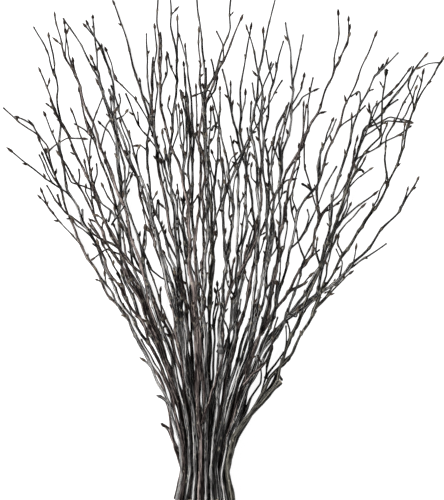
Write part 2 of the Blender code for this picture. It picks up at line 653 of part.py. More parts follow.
def passing_pairs(strands, places, radii, owners, wished):
    """Pairs of places where one strand passes over another, and how far apart they must be."""
    tree = kdtree.KDTree(len(places))
    for index, place in enumerate(places):
        tree.insert((place[0], place[1], 0.0), index)
    tree.balance()
    reach = 2 * radii.max() * FACET_ROOM + CLEARANCE + READ_MARGIN
    found = {}
    for index, place in enumerate(places):
        branch, strand, run = owners[index]
        for _, other, distance in tree.find_range((place[0], place[1], 0.0), reach):
            if other <= index or owners[other][1] == strand:
                continue
            room = (radii[index] + radii[other]) * FACET_ROOM + CLEARANCE
            if branch == owners[other][0]:
                joint_run = run if strands[strand][1].parent else owners[other][2]
                if strands[owners[other][1]][1].parent:
                    joint_run = min(joint_run, owners[other][2])
                room *= min(1.0, max(0.0, joint_run / JUNCTION_ROOM - 0.5))
            beside = max(0.0, distance - READ_MARGIN)
            if beside < room:
                need = (room ** 6 - beside ** 6) ** (1 / 6)
                key = (strand, owners[other][1])
                found.setdefault(key, []).append((index, other, need))
    pairs = []
    for key in sorted(found):
        meetings = sorted(found[key])
        group = [meetings[0]]
        for before, after in zip(meetings, meetings[1:] + [None]):
            if after is None or after[0] - before[0] > MEETING_BREAK:
                above = np.mean([wished[low] - wished[high] for low, high, _ in group])
                sign = 1.0 if above > 0 else -1.0
                pairs += [(low, high, need, sign) for low, high, need in group]
                group = []
            if after is not None:
                group.append(after)
    return pairs


def settle(bunch):
    """Lays the branches on each other: heights change until no two branches touch."""
    strands, places, radii, owners, rows, total = read_points(bunch)
    wish = np.concatenate([strand.wish for _, strand in strands])
    floor = FLOOR_SEAT * np.concatenate([strand.radii for _, strand in strands])
    floor += [BUD_FLOOR if strand.parent else 0.0 for _, strand in strands for _ in strand.radii]
    row = np.array([entry[0] for entry in rows])
    part = np.array([entry[1] for entry in rows])

    def read(values):
        return values[row] * (1 - part) + values[row + 1] * part

    pairs = passing_pairs(strands, places, radii, owners, read(wish))
    first = np.array([pair[0] for pair in pairs])
    second = np.array([pair[1] for pair in pairs])
    need = np.array([pair[2] for pair in pairs])
    sign = np.array([pair[3] for pair in pairs])
    height = np.maximum(wish, floor)
    for turn in range(SETTLE_ROUNDS + FIRM_ROUNDS):
        read_height = read(height)
        short = np.maximum(need - sign * (read_height[first] - read_height[second]), 0.0)
        push = np.zeros(len(places))
        busy = np.zeros(len(places))
        np.add.at(push, first, 0.5 * sign * short)
        np.add.at(push, second, -0.5 * sign * short)
        np.add.at(busy, first, short > 0)
        np.add.at(busy, second, short > 0)
        push /= np.maximum(busy, 1.0)
        moved = np.zeros(total)
        weight = np.full(total, 1e-9)
        np.add.at(moved, row, (1 - part) * push)
        np.add.at(moved, row + 1, part * push)
        np.add.at(weight, row, (1 - part) * (busy > 0))
        np.add.at(weight, row + 1, part * (busy > 0))
        height += PUSH_STRENGTH * moved / np.maximum(weight, LEAST_WEIGHT)
        for _, strand in strands:
            own = slice(strand.start, strand.start + len(strand.plan))
            if strand.parent:
                above = strand.parent.start
                seat = value_at(height[above:above + len(strand.parent.plan)], strand.place)
                height[own] += seat - height[strand.start]
            if turn < SETTLE_ROUNDS:
                shift = height[own] - wish[own]
                calm = shift.copy()
                calm[1:-1] = 0.25 * shift[:-2] + 0.5 * shift[1:-1] + 0.25 * shift[2:]
                calm[0] = 0.5 * (shift[0] + shift[1]) if not strand.parent else shift[0]
                calm[-1] = 0.5 * (shift[-1] + shift[-2])
                height[own] = wish[own] + SPRING_BACK * (shift + STIFFNESS * (calm - shift))
        height = np.maximum(height, floor)
    read_height = read(height)
    short = np.maximum(need - sign * (read_height[first] - read_height[second]), 0.0)
    print("settled, largest shortfall in mm:", round(float(short.max()), 3))
    for _, strand in strands:
        own = slice(strand.start, strand.start + len(strand.plan))
        strand.points = np.column_stack([strand.plan, height[own]])


class Neighbours:
    """Tells whether a bud would stand clear of the other branches."""

    def __init__(self, bunch):
        self.wood = []
        for branch, strands in enumerate(bunch):
            for strand in strands:
                marks = np.linspace(0.0, len(strand.points) - 1.001, int(strand.run()[-1] / READ_STEP))
                self.wood += [(branch, value_at(strand.points, mark), value_at(strand.radii, mark))
                              for mark in marks]
        self.tree = kdtree.KDTree(len(self.wood))
        for index, (_, point, _) in enumerate(self.wood):
            self.tree.insert(point, index)
        self.tree.balance()

    def clear(self, branch, root, tip, radius):
        for part in (BUD_BELLY, 0.5 + 0.5 * BUD_BELLY, 1.0):
            point = Vector(root).lerp(Vector(tip), part)
            for _, index, distance in self.tree.find_range(point, radius + FOOT_RADIUS[1] + CLEARANCE):
                owner, _, wood_radius = self.wood[index]
                if owner != branch and distance < radius + wood_radius + CLEARANCE:
                    return False
        return True


def round_size(sides):
    """How far out the corners stand for a polygon with the area of a round section."""
    return 1.0 / math.sqrt(math.sin(2 * math.pi / sides) * sides / (2 * math.pi))


def closed_mesh(name, rings, tip=None):
    """A closed body over rings of points, with a flat end or a point at its tip."""
    corners = [tuple(corner) for ring in rings for corner in ring]
    sides = len(rings[0])
    faces = [tuple(reversed(range(sides)))]
    for ring in range(len(rings) - 1):
        for side in range(sides):
            low, next_low = ring * sides + side, ring * sides + (side + 1) % sides
            faces.append((low, next_low, next_low + sides, low + sides))
    last = (len(rings) - 1) * sides
    if tip is None:
        faces.append(tuple(range(last, last + sides)))
    else:
        corners.append(tuple(tip))
        faces += [(last + side, last + (side + 1) % sides, len(corners) - 1) for side in range(sides)]
    mesh = bpy.data.meshes.new(name)
    mesh.from_pydata(corners, [], faces)
    mesh.update()
    return mesh


def ring_round(centre, along, radius, sides):
    """Corners round a point of the wood, with a flat side turned to the floor."""
    along = Vector(along).normalized()
    across = along.cross(Vector((0, 0, 1))).normalized()
    up = across.cross(along)
    size = float(radius) * round_size(sides)
    corners = []
    for side in range(sides):
        angle = -0.5 * math.pi + math.pi / sides + 2 * math.pi * side / sides
        corners.append(Vector(centre) + size * (math.cos(angle) * across + math.sin(angle) * up))
    return corners


def wood_mesh(name, strand, sides, draw):
    """The faceted wood of one strand, up to the point of its end bud."""
    directions = np.gradient(strand.points, axis=0)
    along = Vector(strand.points[-1] - strand.points[-2]).normalized()
    tip = Vector(strand.points[-1])
    length = between(BUD_LENGTH, draw)
    radius = between(BUD_RADIUS, draw)
    if strand.broken:
        rings = [ring_round(*place, sides) for place in zip(strand.points, directions, strand.radii)]
        return closed_mesh(name, rings)
    wood_run = strand.run()[-1] - length - BUD_ROOM
    rings = [ring_round(point, way, width, sides)
             for point, way, width, run in zip(strand.points, directions, strand.radii, strand.run())
             if run < max(wood_run, BUD_ROOM)]
    rings.append(ring_round(tip - length * along, along, strand.radii[-1], sides))
    rings.append(ring_round(tip - (1.0 - BUD_BELLY) * length * along, along, radius, sides))
    floor = BUD_FLOOR if strand.parent else 0.0
    for ring in rings:
        for corner in ring:
            corner.z = max(corner.z, floor)
    return closed_mesh(name, rings, tip)


def bud_mesh(name, root, along, length, radius):
    """A pointed bud, widest near its root, which is sunk in the wood."""
    along = Vector(along).normalized()
    across = along.cross(Vector((0.0, 0.1, 1.0))).normalized()
    up = across.cross(along)
    belly = Vector(root) + BUD_BELLY * length * along
    ring = []
    for side in range(BUD_SIDES):
        angle = 2 * math.pi * side / BUD_SIDES
        outward = math.cos(angle) * across + math.sin(angle) * up
        ring.append(belly + radius * round_size(BUD_SIDES) * outward)
    tip = Vector(root) + length * along
    corners = ring + [Vector(root), tip]
    faces = []
    for side in range(BUD_SIDES):
        after = (side + 1) % BUD_SIDES
        faces.append((after, side, BUD_SIDES))
        faces.append((side, after, BUD_SIDES + 1))
    mesh = bpy.data.meshes.new(name)
    mesh.from_pydata([(corner.x, corner.y, max(corner.z, BUD_FLOOR)) for corner in corners], [], faces)
    mesh.update()
    return mesh


def bud_places(strand, draw):
    """Where buds sit along a strand: turn by turn on opposite sides, up to the end bud."""
    run = strand.run()
    mark = BARE_END + between(BUD_PITCH, draw) * draw.random()
    side = draw.uniform(0.0, 2 * math.pi)
    buds = []
    while mark < run[-1] - BARE_END:
        place = float(np.interp(mark, run, np.arange(len(run))))
        lean = math.radians(between(BUD_LEAN, draw))
        length = between(BUD_LENGTH, draw)
        radius = between(BUD_RADIUS, draw)
        if value_at(strand.plan, place)[1] > SHEET_MIDDLE[1] - BUDS_FROM_DOWN:
            buds.append((place, side, lean, length, radius))
        side += math.pi + draw.uniform(-BUD_TWIST, BUD_TWIST)
        mark += between(BUD_PITCH, draw)
    return buds


def side_bud(strand, bud):
    """Where a bud on the side of a strand starts, and how it leans towards the tip."""
    place, side, lean, length, radius = bud
    index = min(int(place), len(strand.points) - 2)
    along = Vector(strand.points[index + 1] - strand.points[index]).normalized()
    across = along.cross(Vector((0, 0, 1))).normalized()
    up = across.cross(along)
    upward = BUD_UPRIGHT * math.sin(side)
    if strand.points[index][2] < LOW_WOOD:
        upward = abs(upward)
    outward = math.cos(side) * across + upward * up
    seat = BUD_SEAT * float(value_at(strand.radii, place))
    root = Vector(value_at(strand.points, place)) + seat * outward
    return root, math.cos(lean) * along + math.sin(lean) * outward, length, radius


def keep_outer_skin(mesh):
    """Fills a hollow that the joining sealed, by keeping only the largest connected skin."""
    skin = bmesh.new()
    skin.from_mesh(mesh)
    left = set(skin.verts)
    groups = []
    while left:
        group = [left.pop()]
        for corner in group:
            for edge in corner.link_edges:
                other = edge.other_vert(corner)
                if other in left:
                    left.discard(other)
                    group.append(other)
        groups.append(group)
    groups.sort(key=len)
    for group in groups[:-1]:
        bmesh.ops.delete(skin, geom=group, context="VERTS")
    skin.to_mesh(mesh)
    skin.free()


def branch_object(name, number, strands, neighbours, bark, draw):
    """Joins the wood and the buds of one branch into one closed body."""
    pieces = []
    for index, strand in enumerate(strands):
        sides = SHOOT_SIDES if strand.parent else STEM_SIDES
        pieces.append(wood_mesh(f"{name}_wood_{index}", strand, sides, draw))
        for count, bud in enumerate(bud_places(strand, draw)):
            root, lean, length, radius = side_bud(strand, bud)
            tip = root + length * lean.normalized()
            if count % BUD_SHARE == FIRST_BUD and neighbours.clear(number, root, tip, radius):
                pieces.append(bud_mesh(f"{name}_bud_{index}_{count}", root, lean, length, radius))
    stem = bpy.data.objects.new(name, pieces[0])
    bpy.context.scene.collection.objects.link(stem)
    growth = bpy.data.collections.new(f"{name}_growth")
    for mesh in pieces[1:]:
        growth.objects.link(bpy.data.objects.new(mesh.name, mesh))
    union = stem.modifiers.new("growth", "BOOLEAN")
    union.operation = "UNION"
    union.operand_type = "COLLECTION"
    union.collection = growth
    union.solver = "EXACT"
    ready = stem.evaluated_get(bpy.context.evaluated_depsgraph_get())
    joined = bpy.data.meshes.new_from_object(ready)
    stem.modifiers.clear()
    for piece in list(growth.objects):
        bpy.data.objects.remove(piece)
    bpy.data.collections.remove(growth)
    joined.name = name
    keep_outer_skin(joined)
    joined.transform(Matrix.Scale(MILLIMETRE, 4))
    joined.materials.clear()
    joined.materials.append(bark_material(f"bark_of_{name}", bark))
    stem.data = joined
    return stem


def bark_material(name, bark):
    """Dry bark in one of its three colours."""
    colour, roughness = BARKS[bark]
    material = bpy.data.materials.new(name)
    material.use_nodes = True
    shader = material.node_tree.nodes["Principled BSDF"]
    shader.inputs["Base Color"].default_value = colour
    shader.inputs["Roughness"].default_value = roughness
    shader.inputs["Metallic"].default_value = 0.0
    return material


def main():
    for thing in list(bpy.data.objects):
        bpy.data.objects.remove(thing)
    bunch = []
    draws = []
    for number, (name, route) in enumerate(BRANCHES.items()):
        draw = random.Random(100 + number)
        bunch.append(grow(number, route, draw))
        draws.append(draw)
    settle(bunch)
    triangles = 0
    neighbours = Neighbours(bunch)
    for number, (name, route) in enumerate(BRANCHES.items()):
        branch = branch_object(f"branch_{name}", number, bunch[number], neighbours, route["bark"],
                               draws[number])
        triangles += sum(len(face.vertices) - 2 for face in branch.data.polygons)
    print("branches:", len(bunch), "triangles:", triangles)


main()
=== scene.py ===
# %% [markdown]
# A bunch of dried birch branches
#
# The real thing is some fifty thin branches, cut and dried, gathered at a narrow neck. Each branch
# grew as one piece: a main stem, side shoots and pointed buds. With no vase the bunch lies on its
# side, so the camera looks straight down on it, with the tips away from the viewer.
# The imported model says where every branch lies. This script grows each branch again along the same
# route, with round wood, real bark and scaled buds.

# %% The frame
import json
import math
import random

import bpy
import numpy as np
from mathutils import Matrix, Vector, kdtree

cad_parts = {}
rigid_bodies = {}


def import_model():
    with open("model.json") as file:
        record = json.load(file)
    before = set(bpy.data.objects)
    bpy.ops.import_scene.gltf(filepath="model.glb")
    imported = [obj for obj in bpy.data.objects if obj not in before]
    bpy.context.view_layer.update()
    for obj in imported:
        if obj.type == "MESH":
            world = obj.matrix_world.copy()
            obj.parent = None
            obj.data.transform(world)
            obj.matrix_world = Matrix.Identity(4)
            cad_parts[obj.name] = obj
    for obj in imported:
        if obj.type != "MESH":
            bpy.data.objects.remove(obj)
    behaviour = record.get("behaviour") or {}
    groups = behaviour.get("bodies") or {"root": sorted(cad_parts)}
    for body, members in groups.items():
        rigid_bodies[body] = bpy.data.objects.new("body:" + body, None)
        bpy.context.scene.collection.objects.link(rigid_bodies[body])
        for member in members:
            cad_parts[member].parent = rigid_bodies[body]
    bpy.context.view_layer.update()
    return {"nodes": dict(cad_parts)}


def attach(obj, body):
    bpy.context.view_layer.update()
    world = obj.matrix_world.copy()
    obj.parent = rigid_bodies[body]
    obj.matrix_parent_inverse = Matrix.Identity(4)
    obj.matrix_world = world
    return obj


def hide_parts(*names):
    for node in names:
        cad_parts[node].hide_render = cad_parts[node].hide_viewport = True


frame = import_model()
print("branches in the frame:", len(frame["nodes"]))

# %% [markdown]
# The camera
#
# A photograph of the bunch shows it flat on, so the camera hangs over the middle of the layout and
# looks straight down. A long lens from far away keeps the raised tips from spreading outwards.

# %% The camera
MILLIMETRE = 0.001
PHOTO_WIDE, PHOTO_TALL = 444.0, 500.0
SHEET_MIDDLE = (222.0, 253.5)
CAMERA_HEIGHT, FOCUS_HEIGHT = 4.0, 0.045
SENSOR, SIGHT_END = 36.0, 20.0


def add_camera():
    """Looks down on the layout sheet, so that a millimetre of it is a pixel of the picture."""
    lens = bpy.data.cameras.new("camera_over_the_bunch")
    lens.sensor_fit = "VERTICAL"
    lens.sensor_height = SENSOR
    lens.lens = SENSOR * (CAMERA_HEIGHT - FOCUS_HEIGHT) / (PHOTO_TALL * MILLIMETRE)
    lens.clip_end = SIGHT_END
    camera = bpy.data.objects.new(lens.name, lens)
    across = PHOTO_WIDE / 2 - SHEET_MIDDLE[0]
    up = SHEET_MIDDLE[1] - PHOTO_TALL / 2
    camera.location = (across * MILLIMETRE, up * MILLIMETRE, CAMERA_HEIGHT)
    bpy.context.scene.collection.objects.link(camera)
    bpy.context.scene.camera = camera
    print("lens in mm:", round(lens.lens, 1))


add_camera()

# %% [markdown]
# The routes
#
# A branch is easiest to draw as a line on a flat sheet, the way a florist lays the branches out.
# The sheet is in millimetres: the first number is the way across and the second the way down from
# the furthest tips. A stem starts just above the neck and ends at its tip. A side shoot starts on
# the wood that it grew from. A dried branch is grey, red-brown or olive, from its age and side.
# A growing rule would need fewer numbers, but its branches would stand where chance puts them.

# %% The routes
BRANCHES = {
    "outer_left": dict(bark="red", stem=[
        (176, 448), (169, 432), (168, 417), (168, 403), (163, 388), (155, 373), (145, 360), (141, 348),
        (137, 335), (123, 315), (108, 297), (95, 272), (80, 247), (68, 217), (57, 184), (47, 151),
        (34, 130), (26, 117)], shoots=[
        [(79, 245), (70, 238), (57, 218), (42, 200), (38, 186)],
        [(36, 133), (22, 124), (8, 116), (1, 106)], [(28, 122), (20, 117), (12, 115)],
        [(45, 148), (57, 142), (71, 135), (88, 138)], [(169, 432), (165, 428), (160, 425)],
        [(168, 403), (162, 398), (155, 397)], [(58, 187), (50, 176), (44, 161), (40, 150)],
        [(56, 182), (51, 171), (46, 155), (43, 146)]]),
    "low_left_twin": dict(bark="grey", stem=[
        (178, 437), (168, 405), (151, 367), (134, 333), (120, 305), (111, 292), (103, 283), (97, 274),
        (94, 266)], shoots=[
        [(103, 283), (105, 274), (104, 268)]]),
    "left_reach": dict(bark="grey", stem=[
        (179, 430), (170, 395), (158, 360), (142, 334), (124, 308), (108, 277), (97, 248), (82, 218),
        (69, 195), (63, 167), (60, 138), (59, 101), (56, 74), (46, 50), (34, 27)], shoots=[
        [(69, 195), (50, 181), (29, 166), (7, 147)], [(57, 76), (58, 66), (51, 50), (48, 32)],
        [(62, 157), (54, 141), (50, 126), (43, 110)], [(84, 221), (82, 208)]]),
    "left_parallel": dict(bark="red", stem=[
        (180, 431), (172, 400), (158, 360), (144, 326), (131, 303), (122, 291), (113, 277), (106, 264),
        (101, 250), (97, 238)], shoots=[
        [(104, 258), (99, 248), (93, 243)], [(122, 291), (121, 281), (117, 272)]]),
    "low_left_sweep": dict(bark="red", stem=[
        (181, 425), (170, 385), (160, 350), (152, 320), (146, 291), (139, 271), (126, 256), (112, 243),
        (98, 236), (80, 228), (69, 218), (57, 202), (45, 184)], shoots=[
        [(100, 238), (86, 222)], [(60, 206), (56, 193)],
        [(126, 256), (113, 248), (100, 251), (88, 262)]]),
    "left_inner_sweep": dict(bark="red", stem=[
        (183, 426), (176, 398), (166, 365), (152, 330), (138, 298), (125, 271), (114, 256), (106, 243),
        (99, 228), (94, 212), (86, 199), (77, 184), (69, 170), (62, 159), (57, 150)], shoots=[
        [(95, 214), (93, 198), (90, 184), (86, 169), (84, 158)], [(100, 231), (96, 222), (88, 218)],
        [(125, 271), (117, 258), (110, 246), (103, 240)], [(77, 184), (80, 174), (79, 168)]]),
    "left_centre": dict(bark="grey", stem=[
        (182, 424), (170, 378), (152, 340), (133, 305), (122, 275), (118, 235), (119, 195), (116, 150),
        (114, 110), (111, 76), (108, 60), (97, 40), (81, 20)], shoots=[
        [(110, 66), (103, 56), (93, 35), (84, 17)], [(116, 144), (107, 130), (96, 119)],
        [(114, 116), (122, 114), (128, 107)], [(120, 202), (127, 182), (126, 162), (129, 148)],
        [(111, 98), (107, 86)]]),
    "left_mid_dark": dict(bark="red", stem=[
        (184, 428), (177, 398), (165, 364), (153, 333), (143, 308), (135, 286), (127, 266), (119, 250),
        (112, 236), (106, 222), (101, 208), (98, 196), (95, 184), (91, 172), (88, 158), (84, 142),
        (78, 126), (72, 108)], shoots=[
        [(106, 222), (99, 216), (92, 214)], [(95, 184), (98, 174), (97, 163)]]),
    "brown_left": dict(bark="red", stem=[
        (184, 430), (174, 390), (162, 350), (148, 312), (134, 280), (118, 246), (104, 218), (95, 198),
        (84, 167), (70, 141), (57, 114), (47, 88), (39, 67)], shoots=[
        [(94, 198), (90, 178), (89, 150), (92, 122), (102, 94)],
        [(90, 190), (76, 186), (68, 176), (63, 162)], [(61, 121), (54, 112), (51, 97)]]),
    "bud_cluster": dict(bark="grey", stem=[
        (188, 430), (182, 400), (172, 360), (161, 326), (152, 303), (147, 284), (144, 262), (140, 240),
        (133, 225), (127, 212), (126, 195), (127, 177), (124, 160), (120, 147), (116, 130), (114, 112),
        (112, 98)], shoots=[
        [(127, 190), (131, 180), (134, 172)],
        [(144, 258), (144, 247), (147, 239), (145, 232), (146, 223)],
        [(116, 130), (111, 120), (110, 113)], [(124, 205), (118, 217), (112, 226)]]),
    "left_core": dict(bark="grey", stem=[
        (186, 430), (179, 398), (168, 364), (157, 335), (147, 308), (141, 290), (134, 268), (129, 250),
        (125, 232), (121, 215), (119, 198), (120, 182), (118, 165), (117, 148), (114, 130), (108, 112),
        (101, 94), (95, 76)], shoots=[
        [(125, 232), (118, 222), (113, 212), (112, 204)],
        [(119, 198), (113, 186), (108, 172), (104, 158)]]),
    "left_fork": dict(bark="red", stem=[
        (187, 430), (178, 385), (166, 340), (152, 298), (138, 258), (126, 215), (112, 174), (99, 140),
        (88, 108), (77, 80), (67, 56), (60, 38), (56, 14)], shoots=[
        [(67, 56), (67, 40), (66, 21)], [(75, 76), (74, 58)], [(102, 146), (108, 124), (119, 108)]]),
    "left_twin": dict(bark="red", stem=[
        (189, 430), (182, 385), (172, 345), (158, 310), (146, 282), (134, 256), (124, 228), (115, 200),
        (105, 175), (96, 147), (88, 127), (80, 104), (77, 82)], shoots=[
        [(92, 138), (83, 128), (72, 122)], [(118, 208), (106, 196), (100, 181)]]),
    "red_pair_left": dict(bark="red", stem=[
        (190, 430), (186, 400), (181, 362), (176, 328), (171, 303), (167, 283), (161, 262), (155, 243),
        (149, 225), (145, 210), (141, 195), (137, 180), (131, 166), (124, 151), (118, 134), (112, 118)],
        shoots=[
        [(131, 167), (127, 159), (125, 150)], [(155, 243), (151, 234), (146, 225)],
        [(141, 195), (144, 186), (143, 178)]]),
    "left_mid_long": dict(bark="grey", stem=[
        (192, 430), (187, 390), (180, 345), (174, 300), (165, 263), (153, 225), (143, 193), (131, 160),
        (118, 128), (106, 99), (95, 72), (80, 43), (63, 18)], shoots=[
        [(103, 92), (98, 68), (96, 40), (94, 17)], [(99, 74), (90, 54)],
        [(151, 220), (150, 204), (158, 190)]]),
    "red_pair_right": dict(bark="grey", stem=[
        (194, 430), (190, 400), (184, 362), (178, 328), (173, 303), (168, 285), (163, 263), (157, 240),
        (153, 222), (150, 205), (146, 190), (142, 175), (138, 162), (134, 150), (130, 138), (125, 124),
        (121, 111), (117, 100), (113, 88)], shoots=[
        [(138, 162), (139, 152), (142, 145)], [(153, 222), (155, 214), (154, 208)],
        [(121, 111), (123, 102), (121, 96)]]),
    "zigzag": dict(bark="grey", stem=[
        (194, 430), (190, 385), (183, 340), (175, 298), (162, 258), (152, 220), (149, 180), (145, 148),
        (150, 122), (150, 97), (146, 70), (149, 50), (146, 31)], shoots=[
        [(146, 150), (139, 144), (131, 146)], [(150, 106), (141, 92), (139, 76)],
        [(157, 240), (146, 226), (142, 208)], [(170, 284), (152, 272), (143, 247), (145, 224)]]),
    "thin_straight": dict(bark="grey", stem=[
        (197, 430), (194, 400), (190, 367), (187, 340), (184, 315), (180, 290), (174, 264), (167, 244),
        (161, 228), (157, 214), (151, 206), (148, 195), (147, 183)], shoots=[
        [(157, 214), (157, 207), (158, 199)], [(167, 244), (164, 236), (166, 228)]]),
    "tall_left": dict(bark="red", stem=[
        (197, 430), (193, 380), (187, 325), (180, 272), (170, 225), (160, 180), (155, 137), (143, 99),
        (135, 75), (126, 38), (118, 10), (111, -4)], shoots=[
        [(156, 144), (148, 120), (140, 104), (128, 91), (114, 77)],
        [(157, 154), (152, 116), (152, 80), (156, 48), (154, 21)],
        [(155, 146), (143, 133), (130, 106), (125, 92)],
        [(176, 262), (163, 232), (157, 212), (158, 198)], [(139, 124), (137, 110)]]),
    "tall_mid": dict(bark="grey", stem=[
        (195, 425), (188, 380), (183, 330), (179, 275), (176, 225), (170, 180), (172, 135), (177, 92),
        (178, 66), (173, 40), (171, -4)], shoots=[
        [(178, 62), (178, 38), (178, 17)], [(172, 119), (168, 107), (171, 96)],
        [(177, 82), (170, 66), (168, 54)], [(170, 160), (178, 130), (177, 106)]]),
    "grey_bend": dict(bark="grey", stem=[
        (201, 430), (199, 400), (197, 366), (195, 336), (193, 306), (190, 280), (187, 255), (183, 235),
        (180, 217), (176, 203), (172, 187), (168, 176), (163, 164), (157, 152), (154, 135), (152, 118),
        (152, 107)], shoots=[
        [(154, 120), (157, 104), (158, 88), (157, 72), (153, 60)], [(176, 203), (178, 192), (177, 183)],
        [(163, 164), (165, 154), (164, 147)]]),
    "tall_mid_left": dict(bark="red", stem=[
        (200, 430), (198, 380), (196, 330), (191, 275), (189, 225), (185, 180), (172, 148), (163, 115),
        (160, 75), (162, 48), (157, 15), (160, -4)], shoots=[
        [(189, 232), (180, 210), (178, 188)], [(161, 92), (168, 76), (167, 58)]]),
    "slim_mid": dict(bark="grey", stem=[
        (205, 430), (204, 400), (201, 366), (199, 336), (196, 306), (192, 280), (188, 258), (184, 238),
        (181, 218), (183, 200), (184, 183), (184, 168), (186, 152), (187, 135), (184, 119), (186, 102),
        (185, 84), (184, 66)], shoots=[
        [(183, 203), (187, 196), (188, 188)], [(187, 135), (190, 124), (189, 116)],
        [(186, 102), (183, 95), (181, 88)]]),
    "core_left": dict(bark="grey", stem=[
        (203, 430), (203, 370), (201, 310), (195, 250), (191, 200), (194, 150), (191, 100), (187, 62),
        (185, 44)], shoots=[
        [(187, 62), (183, 48), (178, 33)], [(192, 130), (184, 110), (180, 89)],
        [(198, 282), (190, 264), (188, 246)], [(192, 156), (187, 112), (186, 86), (184, 63)]]),
    "core_brown": dict(bark="red", stem=[
        (203, 430), (202, 400), (200, 366), (197, 336), (195, 306), (192, 281), (190, 255), (188, 230),
        (188, 205), (187, 180), (189, 160), (191, 140), (190, 120), (189, 104), (186, 90)], shoots=[
        [(191, 140), (187, 125), (184, 110), (181, 92)], [(190, 255), (194, 244), (196, 234)],
        [(188, 210), (193, 202), (199, 193)]]),
    "core_right": dict(bark="red", stem=[
        (205, 430), (201, 365), (196, 290), (195, 240), (202, 180), (199, 137), (205, 103), (220, 71),
        (233, 42), (243, 18)], shoots=[
        [(200, 150), (191, 128), (187, 108)], [(224, 62), (222, 46), (216, 34)]]),
    "straight_mid": dict(bark="red", stem=[
        (205, 430), (204, 400), (203, 366), (202, 336), (202, 306), (203, 280), (203, 255), (204, 230),
        (203, 205), (203, 180), (204, 160), (205, 138), (203, 116), (201, 98), (200, 80), (199, 60),
        (200, 42), (199, 26)], shoots=[
        [(203, 116), (206, 100), (206, 84), (206, 66)],
        [(204, 160), (200, 146), (197, 128), (196, 108), (196, 82)],
        [(203, 205), (200, 192), (199, 182)], [(201, 98), (204, 90), (203, 82)]]),
    "core_middle": dict(bark="grey", stem=[
        (206, 430), (206, 370), (204, 300), (208, 220), (207, 165), (205, 112), (206, 74), (200, 29),
        (197, -4)], shoots=[
        [(205, 116), (201, 92), (201, 66)], [(207, 236), (200, 216), (199, 196)],
        [(208, 234), (219, 210), (228, 186), (240, 160), (252, 136)]]),
    "ladder": dict(bark="grey", stem=[
        (208, 430), (208, 400), (208, 366), (208, 336), (209, 306), (211, 283), (213, 265), (213, 248),
        (214, 232), (216, 218), (215, 205), (214, 190), (212, 177), (216, 163), (219, 150), (221, 132),
        (218, 115), (219, 102), (220, 90)], shoots=[
        [(213, 182), (210, 166), (208, 150), (210, 130), (213, 115), (211, 104)],
        [(220, 128), (214, 124), (211, 131)], [(216, 163), (213, 155), (211, 148)]]),
    "bend_top": dict(bark="olive", stem=[
        (208, 430), (209, 370), (210, 310), (212, 225), (208, 172), (204, 125), (206, 92), (214, 71),
        (225, 56), (229, 30), (231, -4)], shoots=[
        [(205, 104), (214, 92), (218, 76)], [(211, 252), (217, 234), (215, 214)], [(213, 74), (211, 59)],
        [(207, 150), (213, 138), (217, 122)]]),
    "crossing_thin": dict(bark="grey", stem=[
        (214, 430), (216, 400), (218, 366), (219, 336), (221, 306), (224, 286), (226, 266), (226, 250),
        (224, 238), (222, 222), (222, 205), (222, 190), (223, 172), (221, 152), (219, 135)], shoots=[
        [(222, 215), (224, 198), (228, 185), (234, 172), (242, 155)],
        [(224, 286), (218, 292), (217, 284)], [(222, 190), (219, 184), (218, 178)]]),
    "inner_right": dict(bark="grey", stem=[
        (212, 425), (221, 380), (232, 342), (236, 318), (237, 284), (236, 248), (240, 212), (236, 184),
        (238, 160), (230, 136)], shoots=[
        [(237, 300), (228, 288), (225, 272)], [(239, 206), (246, 192), (244, 174)]]),
    "mid_fan": dict(bark="grey", stem=[
        (211, 415), (220, 366), (229, 333), (236, 290), (244, 245), (246, 205), (247, 175), (241, 140),
        (240, 105), (243, 68), (249, 45), (252, 22)], shoots=[
        [(241, 116), (245, 102), (246, 88)], [(246, 158), (249, 142), (247, 127)]]),
    "mid_right": dict(bark="grey", stem=[
        (215, 430), (219, 380), (222, 320), (226, 265), (233, 220), (229, 178), (221, 135), (219, 110),
        (220, 88)], shoots=[
        [(228, 174), (230, 163), (243, 150), (256, 126), (271, 100), (283, 79)],
        [(219, 120), (213, 103), (204, 87), (195, 91), (190, 100)], [(231, 206), (233, 182), (244, 153)],
        [(227, 256), (223, 228), (223, 205), (226, 180), (222, 158)]]),
    "core_dark": dict(bark="red", stem=[
        (218, 430), (222, 400), (230, 362), (238, 332), (246, 306), (250, 285), (254, 265), (256, 248),
        (257, 230), (259, 212), (261, 196), (262, 180), (262, 165), (260, 150), (259, 132), (258, 115),
        (262, 98)], shoots=[
        [(250, 285), (246, 276), (244, 268)], [(257, 232), (250, 225), (247, 212), (253, 206)],
        [(262, 172), (256, 160), (251, 152)], [(259, 132), (255, 120), (254, 108)]]),
    "right_arc": dict(bark="grey", stem=[
        (220, 425), (233, 372), (250, 320), (265, 275), (269, 245), (266, 205), (263, 155), (262, 105),
        (257, 62), (248, 43), (245, 25)], shoots=[
        [(268, 262), (276, 247), (275, 230)], [(263, 116), (254, 98), (252, 82)],
        [(267, 224), (268, 200), (274, 154), (281, 131)]]),
    "droop_tip": dict(bark="grey", stem=[
        (219, 425), (229, 370), (236, 320), (243, 272), (256, 232), (250, 190), (244, 158), (235, 126),
        (230, 98), (222, 66)], shoots=[
        [(236, 130), (231, 112), (233, 98)], [(254, 226), (262, 204), (262, 186)],
        [(231, 104), (230, 90), (231, 78)]]),
    "right_tall": dict(bark="grey", stem=[
        (223, 425), (238, 370), (251, 325), (256, 270), (259, 210), (256, 165), (251, 130), (257, 92),
        (262, 55), (270, 20), (276, -4)], shoots=[
        [(261, 62), (263, 46), (262, 30)], [(254, 110), (265, 84), (273, 66)],
        [(253, 142), (250, 120), (251, 102)]]),
    "sweep_right": dict(bark="red", stem=[
        (218, 425), (220, 370), (223, 318), (233, 278), (252, 255), (264, 222), (279, 187), (295, 156),
